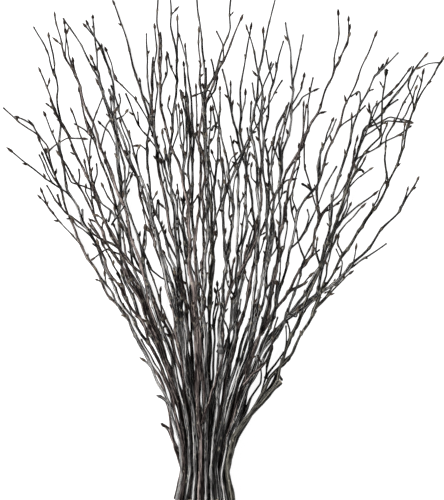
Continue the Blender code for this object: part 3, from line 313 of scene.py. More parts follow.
        (310, 130), (323, 98), (336, 66), (338, 40), (338, 9)], shoots=[
        [(336, 70), (345, 54), (349, 35), (348, 16)], [(300, 146), (304, 120), (304, 99)],
        [(308, 132), (308, 104), (313, 77)], [(279, 188), (288, 179), (298, 179)],
        [(290, 166), (298, 160), (299, 142)]]),
    "right_inner": dict(bark="grey", stem=[
        (224, 430), (231, 400), (243, 364), (255, 332), (262, 306), (266, 280), (270, 258), (272, 235),
        (273, 212), (277, 190), (280, 172), (277, 150), (279, 134), (284, 120), (288, 104)], shoots=[
        [(272, 228), (269, 206), (268, 184), (267, 162), (271, 144), (278, 127), (286, 110)],
        [(280, 165), (274, 154), (270, 142)], [(266, 280), (262, 268), (263, 256), (267, 241)]]),
    "right_bow": dict(bark="grey", stem=[
        (226, 425), (242, 374), (255, 325), (262, 280), (270, 240), (274, 200), (268, 165), (264, 130),
        (270, 98), (277, 65), (284, 39)], shoots=[
        [(273, 82), (268, 62), (266, 48)], [(273, 216), (282, 196), (284, 176)],
        [(272, 196), (272, 160), (276, 128), (289, 103)]]),
    "brown_right": dict(bark="red", stem=[
        (231, 430), (238, 400), (250, 364), (262, 332), (271, 306), (274, 283), (276, 262), (280, 242),
        (283, 222), (285, 205), (288, 190), (291, 176), (296, 162), (300, 148), (303, 134), (304, 118),
        (306, 104)], shoots=[
        [(291, 176), (297, 168), (300, 157), (299, 149)], [(285, 205), (292, 192), (295, 181)],
        [(271, 306), (262, 298), (268, 288), (275, 276)], [(283, 228), (286, 218), (286, 203)]]),
    "right_hook": dict(bark="grey", stem=[
        (229, 425), (247, 374), (262, 328), (273, 285), (281, 235), (280, 190), (281, 162), (290, 133),
        (294, 95), (292, 60), (286, 19)], shoots=[
        [(294, 82), (299, 56), (304, 32)], [(293, 104), (303, 84), (306, 70)],
        [(292, 112), (300, 96), (312, 93), (321, 86)], [(277, 270), (287, 240), (287, 216), (285, 201)],
        [(280, 170), (282, 142), (287, 120), (292, 101)]]),
    "right_lean": dict(bark="grey", stem=[
        (232, 431), (243, 400), (260, 364), (277, 335), (289, 312), (293, 297), (297, 285), (300, 270),
        (305, 257), (311, 245), (316, 235)], shoots=[
        [(289, 312), (296, 318), (298, 306)], [(300, 270), (304, 262), (311, 258)]]),
    "long_right": dict(bark="grey", stem=[
        (230, 432), (243, 390), (260, 350), (284, 321), (303, 299), (320, 266), (329, 238), (331, 203),
        (345, 158), (354, 127), (362, 100), (376, 75), (399, 52)], shoots=[
        [(362, 104), (359, 90), (350, 97)], [(376, 76), (384, 69), (389, 56)],
        [(320, 266), (316, 252), (318, 236)]]),
    "right_bud_tip": dict(bark="grey", stem=[
        (232, 428), (252, 376), (268, 332), (280, 290), (291, 248), (297, 212), (309, 196), (317, 182),
        (319, 158), (327, 132), (335, 120)], shoots=[
        [(292, 250), (301, 240), (312, 214), (323, 190), (335, 167)],
        [(297, 214), (291, 198), (293, 184)]]),
    "right_mid": dict(bark="red", stem=[
        (229, 427), (241, 378), (258, 338), (280, 304), (300, 274), (315, 244), (320, 216), (317, 190),
        (328, 153), (344, 114), (357, 80), (366, 57), (378, 29)], shoots=[
        [(340, 126), (352, 117), (367, 104)], [(291, 290), (303, 285), (315, 271)],
        [(320, 214), (312, 190), (305, 164), (305, 142)], [(307, 262), (298, 240), (290, 195)],
        [(306, 262), (313, 256), (321, 249)],
        [(319, 215), (329, 206), (340, 194), (349, 182), (355, 165), (356, 146)]]),
    "low_right_long": dict(bark="grey", stem=[
        (228, 440), (243, 400), (257, 360), (281, 327), (309, 304), (335, 284), (352, 266), (380, 233),
        (399, 210), (410, 191), (419, 176)], shoots=[
        [(350, 268), (368, 257), (387, 243)], [(341, 279), (343, 262), (336, 248)],
        [(336, 283), (328, 294), (315, 308)], [(353, 266), (356, 252), (357, 242)]]),
    "right_spread": dict(bark="grey", stem=[
        (236, 435), (247, 395), (258, 357), (280, 327), (305, 305), (318, 294), (325, 268), (335, 232),
        (345, 198), (353, 168), (360, 139), (382, 113), (405, 84), (431, 49)], shoots=[
        [(371, 125), (380, 102), (394, 90), (414, 64)], [(357, 158), (382, 144), (402, 133), (414, 124)],
        [(338, 224), (352, 213), (367, 198), (381, 190)], [(348, 190), (361, 175), (375, 166)],
        [(370, 128), (382, 118), (396, 115), (416, 121)], [(338, 230), (346, 217), (353, 201)],
        [(366, 136), (376, 127), (390, 119), (404, 117), (415, 122)],
        [(357, 155), (363, 141), (369, 129), (373, 115), (376, 104), (384, 97), (395, 90)]]),
    "outer_right": dict(bark="olive", stem=[
        (234, 445), (254, 408), (272, 374), (292, 353), (302, 336), (309, 318), (320, 296), (328, 280),
        (343, 254), (360, 229), (376, 205), (389, 180), (399, 162), (403, 132), (412, 108), (428, 80),
        (437, 62), (443, 56)], shoots=[
        [(387, 183), (384, 165), (384, 146), (389, 130), (398, 115), (419, 74)],
        [(437, 62), (427, 65), (413, 72)], [(412, 108), (406, 86), (411, 68)],
        [(343, 254), (337, 246), (339, 232)], [(412, 107), (418, 90), (422, 69)]]),
    "olive_low": dict(bark="olive", stem=[
        (233, 448), (244, 425), (256, 409), (270, 390), (280, 370), (288, 345), (298, 321), (307, 302),
        (318, 272), (330, 242), (341, 210), (350, 180), (360, 160), (376, 145), (380, 125), (384, 95),
        (386, 69)], shoots=[
        [(278, 374), (283, 382)], [(289, 344), (290, 330), (286, 318)],
        [(260, 404), (266, 374), (271, 350), (275, 330)], [(379, 132), (370, 116), (368, 102)]]),
    "broken_low": dict(bark="olive", broken=True, stem=[
        (231, 444), (241, 423), (253, 410), (266, 396), (280, 381)], shoots=[
        [(277, 384), (279, 371), (282, 357)]]),
}

print("routes:", len(BRANCHES), "stems,", sum(len(route["shoots"]) for route in BRANCHES.values()), "shoots")

# %% [markdown]
# From routes to wood
#
# A dozen points are too few for a stem, so a smooth line is drawn through them and read again at
# even steps. At every bud a birch twig turns a little to one side and then the other, and that is
# added here. The wood is about four millimetres thick at its cut end, and thins to one and a half.

# %% Reading a smooth line
READS_PER_SPAN = 12


def run_along(points):
    """How far along a line each of its points is."""
    return np.concatenate([[0.0], np.cumsum(np.linalg.norm(np.diff(points, axis=0), axis=1))])


def smooth_line(points, step):
    """Reads a smooth line through the points at even steps, whatever each point holds."""
    points = np.array(points, float)
    chords = np.linalg.norm(np.diff(points, axis=0), axis=1)
    slopes = np.diff(points, axis=0) / chords[:, None]
    tangents = np.vstack([slopes[:1], slopes[-1:]])
    if len(points) > 2:
        before, after = chords[:-1, None], chords[1:, None]
        inner = (slopes[:-1] * after + slopes[1:] * before) / (before + after)
        tangents = np.vstack([slopes[:1], inner, slopes[-1:]])
    dense = []
    for index, chord in enumerate(chords):
        for part in np.linspace(0.0, 1.0, READS_PER_SPAN, endpoint=False):
            square, cube = part ** 2, part ** 3
            # The usual cubic curve between two points, with a direction at each of them.
            dense.append((2 * cube - 3 * square + 1) * points[index]
                         + (cube - 2 * square + part) * chord * tangents[index]
                         + (3 * square - 2 * cube) * points[index + 1]
                         + (cube - square) * chord * tangents[index + 1])
    dense = np.array(dense + [points[-1]])
    run = run_along(dense)
    marks = np.linspace(0.0, run[-1], max(2, round(run[-1] / step)) + 1)
    return np.column_stack([np.interp(marks, run, column) for column in dense.T])


print("a bend read at 5 mm steps:", len(smooth_line([(0, 0), (40, 5), (60, 40)], 5.0)), "points")

# %% A strand of wood
KINK_TURN = 0.6


class Strand:
    """A length of wood: a main stem, or a side shoot with the place that it grew from."""

    def __init__(self, plan, radii, wish, parent=None, place=0.0):
        self.plan, self.radii, self.wish = plan, radii, wish
        self.parent, self.place, self.start = parent, place, 0
        self.broken = self.firm = self.extra = False
        self.knots = []

    def run(self):
        return run_along(self.plan)


def between(low_high, draw):
    """A random number between two others."""
    return low_high[0] + (low_high[1] - low_high[0]) * draw.random()


def from_sheet(points):
    """Turns places on the layout sheet into X and Y."""
    return [(across - SHEET_MIDDLE[0], SHEET_MIDDLE[1] - down) for across, down in points]


def kinked(plan, draw, size, straight_below):
    """Moves the points a little to one side and the other, as a twig turns at each bud."""
    along = np.gradient(plan, axis=0)
    across = np.column_stack([-along[:, 1], along[:, 0]])
    across /= np.linalg.norm(across, axis=1)[:, None]
    side = draw.choice((-1, 1))
    for index in range(1, len(plan) - 1):
        push = size * (KINK_TURN * side + draw.uniform(-1.0, 1.0))
        side = -side
        if plan[index][1] > straight_below:
            plan[index] += push * across[index]
    return plan


print("the middle of the sheet in X and Y:", from_sheet([SHEET_MIDDLE])[0])

# %% Main stems
NECK_DOWN, NECK_LEFT, NECK_RIGHT = 470.0, 181.5, 227.0
CUT_ENDS_DOWN, FOOT_FLARE = (501.0, 511.0), 1.3
FOOT_RADIUS, STEM_TIP_RADIUS, STEM_TAPER = (1.85, 2.15), 0.75, 0.75
STEM_STEP, STEM_KINK, STRAIGHT_NECK = 34.0, 0.55, 50.0
FLOOR_SEAT, ROW_PITCH = 0.87, 4.0
ROW_RISE = (0.0, 26.0, 52.0, 78.0, 104.0, 128.0)
ROW_SPREAD = (9.0, 11.0, 12.0, 13.0, 13.0, 13.0)
FULL_REACH, BOW = 480.0, (0.95, 1.35)


def main_stem(number, row, route, draw):
    """The main stem, from its cut end through the neck to its tip."""
    share = number / (len(BRANCHES) - 1)
    neck = NECK_LEFT + share * (NECK_RIGHT - NECK_LEFT)
    middle = 0.5 * (NECK_LEFT + NECK_RIGHT)
    foot = middle + FOOT_FLARE * (neck - middle)
    cut = between(CUT_ENDS_DOWN, draw)
    plan = smooth_line(from_sheet([(foot, cut), (neck, NECK_DOWN)] + route), STEM_STEP)
    plan = kinked(plan, draw, STEM_KINK, SHEET_MIDDLE[1] - NECK_DOWN + STRAIGHT_NECK)
    foot_radius = between(FOOT_RADIUS, draw)
    left = 1.0 - np.linspace(0.0, 1.0, len(plan))
    radii = STEM_TIP_RADIUS + (foot_radius - STEM_TIP_RADIUS) * left ** STEM_TAPER
    reach = (plan[:, 1] - (SHEET_MIDDLE[1] - NECK_DOWN)) / FULL_REACH
    rise = ROW_RISE[row] + ROW_SPREAD[row] * draw.uniform(-1.0, 1.0)
    bow = between(BOW, draw)
    seat = FLOOR_SEAT * radii
    wish = row * ROW_PITCH + seat + rise * np.maximum(reach, 0.0) ** bow
    return Strand(plan, radii, np.maximum(wish, seat))


print("width of the neck in mm:", NECK_RIGHT - NECK_LEFT, "and rows from low to high:", len(ROW_RISE))

# %% Side shoots
SHOOT_SHARE, SHOOT_MOST, SHOOT_RADIUS, SHOOT_TIP_RADIUS = 0.66, 0.9, (0.85, 1.2), 0.65
SHOOT_STEP, SHOOT_KINK = 25.0, 0.275
SHOOT_TILT, SHOOT_STRAIGHT = (-26.0, 34.0), 6.0


def nearest_place(strand, point):
    """The nearest place on a strand, as a point number and a fraction, with its distance."""
    starts, ends = strand.plan[:-1], strand.plan[1:]
    spans = ends - starts
    parts = np.clip(((point - starts) * spans).sum(1) / (spans ** 2).sum(1), 0.0, 1.0)
    gaps = np.linalg.norm(starts + spans * parts[:, None] - point, axis=1)
    best = int(gaps.argmin())
    return best + parts[best], gaps[best]


def value_at(values, place):
    """Reads a value, or a point, at a place between two of a strand's points."""
    index = min(int(place), len(values) - 2)
    part = place - index
    return values[index] * (1 - part) + values[index + 1] * part


def side_shoot(strands, route, row, draw):
    """A side shoot, grown from the nearest wood of its branch."""
    route = from_sheet(route)
    places = [nearest_place(strand, np.array(route[0])) for strand in strands]
    choice = min(range(len(strands)), key=lambda index: places[index][1])
    parent, place = strands[choice], places[choice][0]
    route[0] = tuple(value_at(parent.plan, place))
    plan = kinked(smooth_line(route, SHOOT_STEP), draw, SHOOT_KINK, -SHEET_MIDDLE[1])
    parent_radius = value_at(parent.radii, place)
    base = max(SHOOT_SHARE * parent_radius, SHOOT_RADIUS[0])
    base = min(base, SHOOT_RADIUS[1], SHOOT_MOST * parent_radius)
    radii = np.linspace(base, SHOOT_TIP_RADIUS, len(plan))
    tilt = math.tan(math.radians(between(SHOOT_TILT, draw)))
    if row == 0:
        tilt = abs(tilt)
    shoot = Strand(plan, radii, None, parent, place)
    rise = tilt * np.maximum(shoot.run() - SHOOT_STRAIGHT, 0.0)
    shoot.wish = np.maximum(value_at(parent.wish, place) + rise, radii)
    return shoot


print("shoots start", [2 * radius for radius in SHOOT_RADIUS], "mm thick, and end", 2 * SHOOT_TIP_RADIUS)

# %% Growing the bunch
ROW_CYCLE = (0, 4, 2, 5, 1, 3)
BROKEN_RADIUS = (2.2, 1.7)
STEM_SEED = 100


def grow(number, route, draw):
    """All the wood of one branch."""
    row = ROW_CYCLE[number % len(ROW_CYCLE)]
    strands = [main_stem(number, row, route["stem"], draw)]
    if route.get("broken"):
        strands[0].broken = True
        strands[0].radii = np.linspace(*BROKEN_RADIUS, len(strands[0].plan))
    for shoot in route["shoots"]:
        strands.append(side_shoot(strands, shoot, row, draw))
    return strands


DRAWS = [random.Random(STEM_SEED + number) for number in range(len(BRANCHES))]
BUNCH = [grow(number, route, DRAWS[number]) for number, route in enumerate(BRANCHES.values())]
print("metres of wood:", round(sum(strand.run()[-1] for wood in BUNCH for strand in wood) * MILLIMETRE, 1))

# %% [markdown]
# Letting the bunch settle
#
# Flat routes cross each other hundreds of times. Real branches pass over and under, and here only
# their heights change: wherever two strands meet in plan, the upper one is pushed up and the lower
# one down until the wood is clear, and each strand stays springy in between. The floor stops the
# lowest ones. A physics run could lay them down too, but it would push them sideways as well, and
# here the view from above keeps every route as it was drawn.

# %% Close-set places
BUD_LENGTH, BUD_RADIUS = (5.5, 7.5), (1.05, 1.3)
READ_STEP = 2.0


def read_points(bunch):
    """Close-set places along every strand: where they are, how thick, and whose they are."""
    places, radii, owners, rows = [], [], [], []
    total = 0
    strands = [(branch, strand) for branch, wood in enumerate(bunch) for strand in wood]
    for number, (branch, strand) in enumerate(strands):
        strand.start = total
        run = strand.run()
        for index in range(len(run) - 1):
            count = max(1, round((run[index + 1] - run[index]) / READ_STEP))
            for part in np.arange(count) / count:
                mark = run[index] + part * (run[index + 1] - run[index])
                at_bud = run[-1] - mark < BUD_LENGTH[1]
                places.append(value_at(strand.plan, index + part))
                wood = value_at(strand.radii, index + part)
                radii.append(max(wood, BUD_RADIUS[1]) if at_bud else wood)
                owners.append((branch, number, mark))
                rows.append((total + index, part))
        total += len(strand.plan)
    return strands, np.array(places), np.array(radii), owners, rows, total


print("places read along the bunch:", len(read_points(BUNCH)[1]))

# %% Where strands pass each other
CLEARANCE, FACET_ROOM, SQUARENESS = 0.25, 0.98, 6
READ_MARGIN, MEETING_BREAK = 0.4, 8
JUNCTION_ROOM, JUNCTION_FREE = 16.0, 0.5


def passing_pairs(strands, places, radii, owners, wished):
    """Pairs of places where one strand passes over another, and how far apart they must be."""
    tree = kdtree.KDTree(len(places))
    for index, place in enumerate(places):
        tree.insert((place[0], place[1], 0.0), index)
    tree.balance()
    reach = 2 * radii.max() * FACET_ROOM + CLEARANCE + READ_MARGIN
    found = {}
    for index, place in enumerate(places):
        branch, strand, run = owners[index]
        for _, other, distance in tree.find_range((place[0], place[1], 0.0), reach):
            other_branch, other_strand, other_run = owners[other]
            if other <= index or other_strand == strand:
                continue
            room = (radii[index] + radii[other]) * FACET_ROOM + CLEARANCE
            if branch == other_branch:
                joint_run = run if strands[strand][1].parent else other_run
                if strands[other_strand][1].parent:
                    joint_run = min(joint_run, other_run)
                room *= min(1.0, max(0.0, joint_run / JUNCTION_ROOM - JUNCTION_FREE))
            beside = max(0.0, distance - READ_MARGIN)
            if beside < room:
                need = (room ** SQUARENESS - beside ** SQUARENESS) ** (1 / SQUARENESS)
                found.setdefault((strand, other_strand), []).append((index, other, need))
    pairs = []
    for key in sorted(found):
        meetings = sorted(found[key])
        group = [meetings[0]]
        for before, after in zip(meetings, meetings[1:] + [None]):
            if after is None or after[0] - before[0] > MEETING_BREAK:
                above = np.mean([wished[low] - wished[high] for low, high, _ in group])
                sign = 1.0 if above > 0 else -1.0
                pairs += [(low, high, need, sign) for low, high, need in group]
                group = []
            if after is not None:
                group.append(after)
    return pairs


print("two stems of 4 mm pass with their middles", round(4.0 * FACET_ROOM + CLEARANCE, 2), "mm apart")

# %% Settling
SETTLE_ROUNDS, FIRM_ROUNDS = 420, 160
STIFFNESS, SPRING_BACK = 0.5, 0.998
PUSH_STRENGTH, LEAST_WEIGHT, NO_WEIGHT = 1.2, 0.35, 1e-9
BUD_FLOOR = 0.05
SOFTEN = (0.25, 0.5, 0.25)


def settle(bunch):
    """Lays the branches on each other: heights change until no two branches touch."""
    strands, places, radii, owners, rows, total = read_points(bunch)
    wish = np.concatenate([strand.wish for _, strand in strands])
    firm = np.concatenate([np.full(len(strand.plan), strand.firm) for _, strand in strands])
    floor = FLOOR_SEAT * np.concatenate([strand.radii for _, strand in strands])
    floor += [BUD_FLOOR if strand.parent else 0.0 for _, strand in strands for _ in strand.radii]
    row, part = (np.array(column) for column in zip(*rows))

    def read(values):
        return values[row] * (1 - part) + values[row + 1] * part

    pairs = passing_pairs(strands, places, radii, owners, read(wish))
    first, second, need, sign = (np.array(column) for column in zip(*pairs))
    height = np.maximum(wish, floor)
    for turn in range(SETTLE_ROUNDS + FIRM_ROUNDS):
        read_height = read(height)
        short = np.maximum(need - sign * (read_height[first] - read_height[second]), 0.0)
        push, busy = np.zeros(len(places)), np.zeros(len(places))
        for ends, way in ((first, 0.5), (second, -0.5)):
            np.add.at(push, ends, way * sign * short)
            np.add.at(busy, ends, short > 0)
        push /= np.maximum(busy, 1.0)
        moved, weight = np.zeros(total), np.full(total, NO_WEIGHT)
        for points, share in ((row, 1 - part), (row + 1, part)):
            np.add.at(moved, points, share * push)
            np.add.at(weight, points, share * (busy > 0))
        height += PUSH_STRENGTH * moved / np.maximum(weight, LEAST_WEIGHT)
        for _, strand in strands:
            own = slice(strand.start, strand.start + len(strand.plan))
            if strand.parent:
                above = strand.parent.start
                seat = value_at(height[above:above + len(strand.parent.plan)], strand.place)
                height[own] += seat - height[strand.start]
            if turn < SETTLE_ROUNDS:
                shift = height[own] - wish[own]
                calm = shift.copy()
                calm[1:-1] = SOFTEN[0] * shift[:-2] + SOFTEN[1] * shift[1:-1] + SOFTEN[2] * shift[2:]
                calm[0] = 0.5 * (shift[0] + shift[1]) if not strand.parent else shift[0]
                calm[-1] = 0.5 * (shift[-1] + shift[-2])
                height[own] = wish[own] + SPRING_BACK * (shift + STIFFNESS * (calm - shift))
        height = np.where(firm, wish, np.maximum(height, floor))
    for _, strand in strands:
        own = slice(strand.start, strand.start + len(strand.plan))
        strand.points = np.column_stack([strand.plan, height[own]])
    return len(pairs)


print("places where wood passes wood:", settle(BUNCH))

# %% Room for buds
BUD_BELLY = 0.38
BEFORE_END = 1.001


class Neighbours:
    """Close-set places on the wood of the bunch, to see whether a bud would touch another branch."""

    def __init__(self, bunch):
        self.wood = []
        for branch, strands in enumerate(bunch):
            for strand in strands:
                ends = (0.0, len(strand.points) - BEFORE_END)
                self.wood += [(branch, value_at(strand.points, mark), value_at(strand.radii, mark))
                              for mark in np.linspace(*ends, int(strand.run()[-1] / READ_STEP))]
        self.tree = kdtree.KDTree(len(self.wood))
        for index, (_, point, _) in enumerate(self.wood):
            self.tree.insert(point, index)
        self.tree.balance()

    def clear(self, branch, root, tip, radius):
        """Tells whether a bud from root to tip stands clear of the other branches."""
        for part in (BUD_BELLY, 0.5 + 0.5 * BUD_BELLY, 1.0):
            point = Vector(root).lerp(Vector(tip), part)
            for _, index, distance in self.tree.find_range(point, radius + FOOT_RADIUS[1] + CLEARANCE):
                owner, _, wood_radius = self.wood[index]
                if owner != branch and distance < radius + wood_radius + CLEARANCE:
                    return False
        return True


NEIGHBOURS = Neighbours(BUNCH)
print("places of wood that a bud keeps clear of:", len(NEIGHBOURS.wood))

# %% [markdown]
# Twigs in the gaps
#
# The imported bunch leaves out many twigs. Each one here grows from the nearest wood, follows its
# height, and finds its way past the branches, which now stay where they are. A twig is written as
# its radius where it starts and its route on the sheet. The last few lie over the other wood, so
# they are lifted onto it. Scattered twigs would be quicker, but they would fill the wrong gaps.

# %% Twigs in the gaps
TWIGS = [
    (0.9, [(71, 136), (64, 127), (57, 119), (52, 111)]),
    (1.2, [(88, 132), (86, 126), (83, 116), (80, 107), (79, 96), (77, 85)]),
    (0.8, [(46, 155), (42, 149), (39, 141), (35, 134)]),
    (0.8, [(52, 182), (49, 178), (45, 168), (42, 158), (39, 154)]),
    (0.9, [(82, 166), (79, 162), (76, 156), (73, 150), (71, 144)]),
    (1.1, [(117, 218), (112, 211), (107, 209), (102, 203), (98, 195)]),
    (0.9, [(112, 211), (111, 217), (109, 223)]),
    (1.1, [(119, 242), (117, 236), (113, 228), (111, 221)]),
    (1.1, [(126, 300), (124, 290), (121, 280), (118, 271), (113, 262), (108, 252), (103, 243)]),
    (1.0, [(92, 237), (88, 233), (81, 229), (75, 224), (70, 217)]),
    (1.1, [(128, 256), (124, 249), (123, 240), (122, 232), (119, 222)]),
    (0.9, [(133, 158), (130, 150), (126, 138), (122, 127), (119, 117)]),
    (1.0, [(171, 178), (168, 165), (166, 152), (164, 140), (163, 129)]),
    (1.1, [(185, 164), (182, 148), (180, 134), (179, 118), (178, 101)]),
    (1.0, [(171, 206), (168, 192), (166, 181), (163, 170), (161, 158)]),
    (1.0, [(176, 345), (173, 334), (169, 325), (165, 313), (160, 300), (155, 285), (150, 271),
           (147, 259)]),
    (1.0, [(162, 318), (160, 305), (160, 295), (160, 286)]),
    (1.5, [(180, 304), (177, 292), (174, 280), (172, 270), (168, 260), (163, 249)]),
    (1.5, [(192, 340), (191, 325), (189, 305), (188, 292), (186, 278), (184, 265), (181, 250),
           (179, 238)]),
    (1.0, [(50, 212), (46, 206), (42, 200), (38, 197), (35, 194)]),
    (0.9, [(92, 206), (89, 198), (86, 190), (87, 183)]),
    (0.8, [(105, 233), (102, 226), (104, 220)]),
    (0.9, [(135, 320), (130, 311), (124, 300), (120, 290)]),
    (1.0, [(163, 380), (158, 370), (153, 360), (147, 349), (141, 338)]),
    (1.3, [(149, 366), (144, 360), (139, 357)]),
    (1.3, [(175, 450), (171, 441), (168, 433), (164, 429), (160, 425)]),
    (1.2, [(169, 404), (163, 399), (157, 396)]),
    (1.4, [(230, 286), (231, 275), (230, 266), (228, 259)]),
    (1.3, [(232, 276), (233, 266), (235, 256)]),
    (1.7, [(244, 262), (246, 252), (249, 242), (251, 233), (255, 222)]),
    (1.1, [(239, 252), (241, 240), (242, 229), (243, 217), (246, 204)]),
    (1.2, [(273, 312), (276, 294), (278, 283), (279, 272), (280, 260), (281, 247)]),
    (0.9, [(310, 191), (306, 187), (300, 184)]),
    (0.9, [(299, 240), (304, 230), (308, 221), (308, 214), (306, 209)]),
    (1.1, [(316, 178), (316, 166), (318, 156), (322, 147), (325, 136), (329, 126), (332, 119)]),
    (0.9, [(315, 121), (319, 114), (327, 111)]),
    (0.9, [(295, 182), (297, 175), (299, 166)]),
    (0.9, [(326, 215), (333, 207), (341, 200), (348, 192)]),
    (1.0, [(319, 222), (323, 214), (329, 207)]),
    (1.0, [(319, 300), (322, 288), (325, 278), (327, 266), (330, 254), (333, 244), (336, 233)]),
    (0.9, [(335, 239), (339, 231), (344, 225), (350, 219), (357, 211), (366, 203)]),
    (1.1, [(226, 250), (228, 240), (231, 229), (230, 214), (229, 200), (227, 190), (223, 180)]),
    (0.9, [(212, 204), (212, 193), (211, 182), (210, 170)]),
    (0.8, [(216, 128), (214, 116), (213, 105)]),
    (0.9, [(287, 298), (293, 290), (301, 287), (309, 281)]),
    (1.2, [(314, 310), (320, 304), (327, 297), (336, 287), (346, 277), (354, 270)]),
    (1.0, [(226, 168), (229, 162), (233, 158), (238, 153)]),
    (0.9, [(247, 172), (248, 160), (251, 150)]),
    (0.9, [(256, 184), (251, 179), (250, 171), (252, 162)]),
    (0.8, [(262, 113), (264, 104), (265, 96)]),
    (0.8, [(259, 258), (262, 246), (265, 235)]),
    (1.9, [(240, 424), (244, 416), (248, 408), (251, 400), (257, 392), (261, 383), (262, 375),
           (261, 367)]),
    (1.3, [(264, 378), (268, 374), (274, 367), (280, 360), (285, 352)]),
    (1.5, [(209, 404), (211, 388), (213, 372), (214, 355), (214, 338), (213, 322), (215, 306),
           (217, 290), (217, 280)]),
    (1.1, [(213, 326), (216, 315), (218, 305), (216, 296), (214, 287)]),
    (0.9, [(241, 332), (243, 318), (246, 306), (250, 294), (251, 283)]),
    (1.0, [(283, 364), (285, 350), (287, 338), (286, 325)]),
    (1.0, [(295, 336), (300, 322), (305, 311), (312, 303), (319, 295)]),
    (0.9, [(267, 366), (272, 355), (274, 345)]),
    (1.0, [(358, 229), (368, 213), (375, 201), (381, 189), (385, 180), (384, 168), (383, 155)]),
    (0.9, [(404, 120), (409, 109), (414, 97), (419, 83)]),
    (0.8, [(399, 154), (401, 138), (404, 121)]),
    (0.8, [(381, 142), (386, 130), (390, 120)]),
    (1.1, [(352, 181), (357, 171), (362, 164), (367, 155)]),
    (0.9, [(359, 168), (362, 168), (364, 173)]),
    (0.9, [(387, 105), (394, 101), (401, 97)]),
    (0.9, [(341, 217), (346, 205), (349, 196), (350, 187)]),
    (0.8, [(438, 60), (435, 69), (431, 78)]),
    (0.8, [(401, 206), (405, 196), (408, 186)]),
    (0.8, [(378, 73), (381, 69), (384, 63)]),
    (1.1, [(77, 74), (71, 60), (68, 46), (67, 29)]),
    (1.0, [(114, 80), (111, 66), (108, 55), (104, 45)]),
    (1.2, [(161, 78), (162, 60), (162, 47), (162, 37)]),
    (1.1, [(152, 98), (151, 83), (151, 70), (153, 55)]),
    (0.8, [(342, 57), (347, 42), (349, 34), (350, 24)]),
    (1.0, [(184, 152), (183, 135), (183, 120), (181, 107)]),
    (1.1, [(180, 250), (178, 236), (178, 225), (177, 213)]),
    (1.1, [(206, 217), (206, 200), (206, 188), (205, 176)]),
    (1.2, [(208, 278), (208, 260), (210, 248), (211, 237)]),
    (1.2, [(103, 243), (98, 232), (94, 225), (90, 218)]),
    (1.0, [(349, 142), (351, 130), (352, 121), (352, 111)]),
    (1.0, [(353, 160), (355, 149), (357, 141), (360, 133)]),
    (1.1, [(341, 224), (346, 210), (349, 199), (351, 189)]),
    (1.0, [(331, 242), (330, 226), (330, 214), (332, 203)]),
    (1.2, [(244, 277), (246, 264), (249, 257), (253, 249)]),
    (1.1, [(274, 310), (275, 298), (276, 288), (277, 279)]),
]
FRONT_TWIGS = [
    (1.7, [(199, 436), (198, 418), (197, 400), (196, 380), (196, 360), (195, 340), (195, 322),
           (190, 308), (184, 294), (178, 280), (174, 268)]),
    (1.2, [(195, 324), (201, 314), (206, 304), (204, 292), (199, 281)]),
    (1.5, [(219, 396), (221, 380), (224, 362), (228, 345), (229, 333), (224, 320), (220, 305),
           (219, 290)]),
    (1.2, [(229, 335), (234, 326), (238, 314), (241, 298)]),
    (1.6, [(203, 428), (208, 406), (213, 388), (219, 370), (224, 350), (227, 338)]),
    (1.5, [(240, 388), (249, 377), (256, 371), (264, 367), (260, 360), (257, 354)]),
    (1.1, [(246, 378), (245, 366), (249, 358), (256, 355)]),
    (1.3, [(263, 369), (268, 357), (271, 345), (273, 331), (278, 316)]),
]
print("twigs in the gaps:", len(TWIGS), "and in front:", len(FRONT_TWIGS))

# %% Growing the twigs
TWIG_STEP, TWIG_KINK, TWIG_TIP = 9.0, 0.4, 0.65
TWIG_LIFT = (-0.10, 0.22)
FRONT_REACH, FRONT_GAP = 4.0, 1.5
TWIG_SEED = 7


def front_height(point):
    """The height of the highest wood near a place, as seen from above."""
    places = [(strand, *nearest_place(strand, point)) for strands in BUNCH for strand in strands]
    return max([value_at(strand.wish, place) for strand, place, gap in places if gap < FRONT_REACH],
               default=0.0)


def add_twig(radius, route, draw, front):
    """Grows one more twig from the nearest wood of the bunch, or from the uppermost in front."""
    route = from_sheet(route)
    start = np.array(route[0])
    choices = []
    for number, strands in enumerate(BUNCH):
        for index, strand in enumerate(strands):
            place, gap = nearest_place(strand, start)
            height = value_at(strand.wish, place)
            choices.append((-height if front and gap < FRONT_REACH else gap, number, index))
    _, number, index = min(choices)
    parent = BUNCH[number][index]
    place = nearest_place(parent, start)[0]
    route[0] = tuple(value_at(parent.plan, place))
    plan = kinked(smooth_line(route, TWIG_STEP), draw, TWIG_KINK, -SHEET_MIDDLE[1])
    twig = Strand(plan, np.linspace(radius, TWIG_TIP, len(plan)), None, parent, place)
    beside = [value_at(parent.wish, nearest_place(parent, point)[0]) for point in plan]
    twig.wish = np.maximum(np.array(beside) + between(TWIG_LIFT, draw) * twig.run(), twig.radii)
    if front:
        crests = np.array([front_height(point) + radius + FRONT_GAP for point in plan])
        twig.wish[1:] = np.maximum(twig.wish, crests)[1:]
    twig.extra = True
    BUNCH[number].append(twig)


for strands in BUNCH:
    for strand in strands:
        strand.wish, strand.firm = strand.points[:, 2], True
twig_draw = random.Random(TWIG_SEED)
for front, twigs in ((False, TWIGS), (True, FRONT_TWIGS)):
    for radius, route in twigs:
        add_twig(radius, route, twig_draw, front)
print("places where wood passes wood, with the twigs:", settle(BUNCH))

# %% [markdown]
# Fine lines for round wood
#
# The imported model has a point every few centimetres. Real wood bends smoothly and turns a little at
# every bud, so each strand is read again every millimetre and a half, with a small zigzag. A side
# shoot is moved to start in the very middle of the wood that carries it. Subdividing the mesh would
# round the corners as well, but it knows nothing of buds and forks.

# %% Where buds sit
BUD_LEAN, BUD_PITCH, BUD_TWIST = (26.0, 40.0), (20.0, 27.0), 0.6
BUDS_FROM_DOWN, BARE_END = 345.0, 9.0
BUD_UPRIGHT, LOW_WOOD = 0.75, 4.0


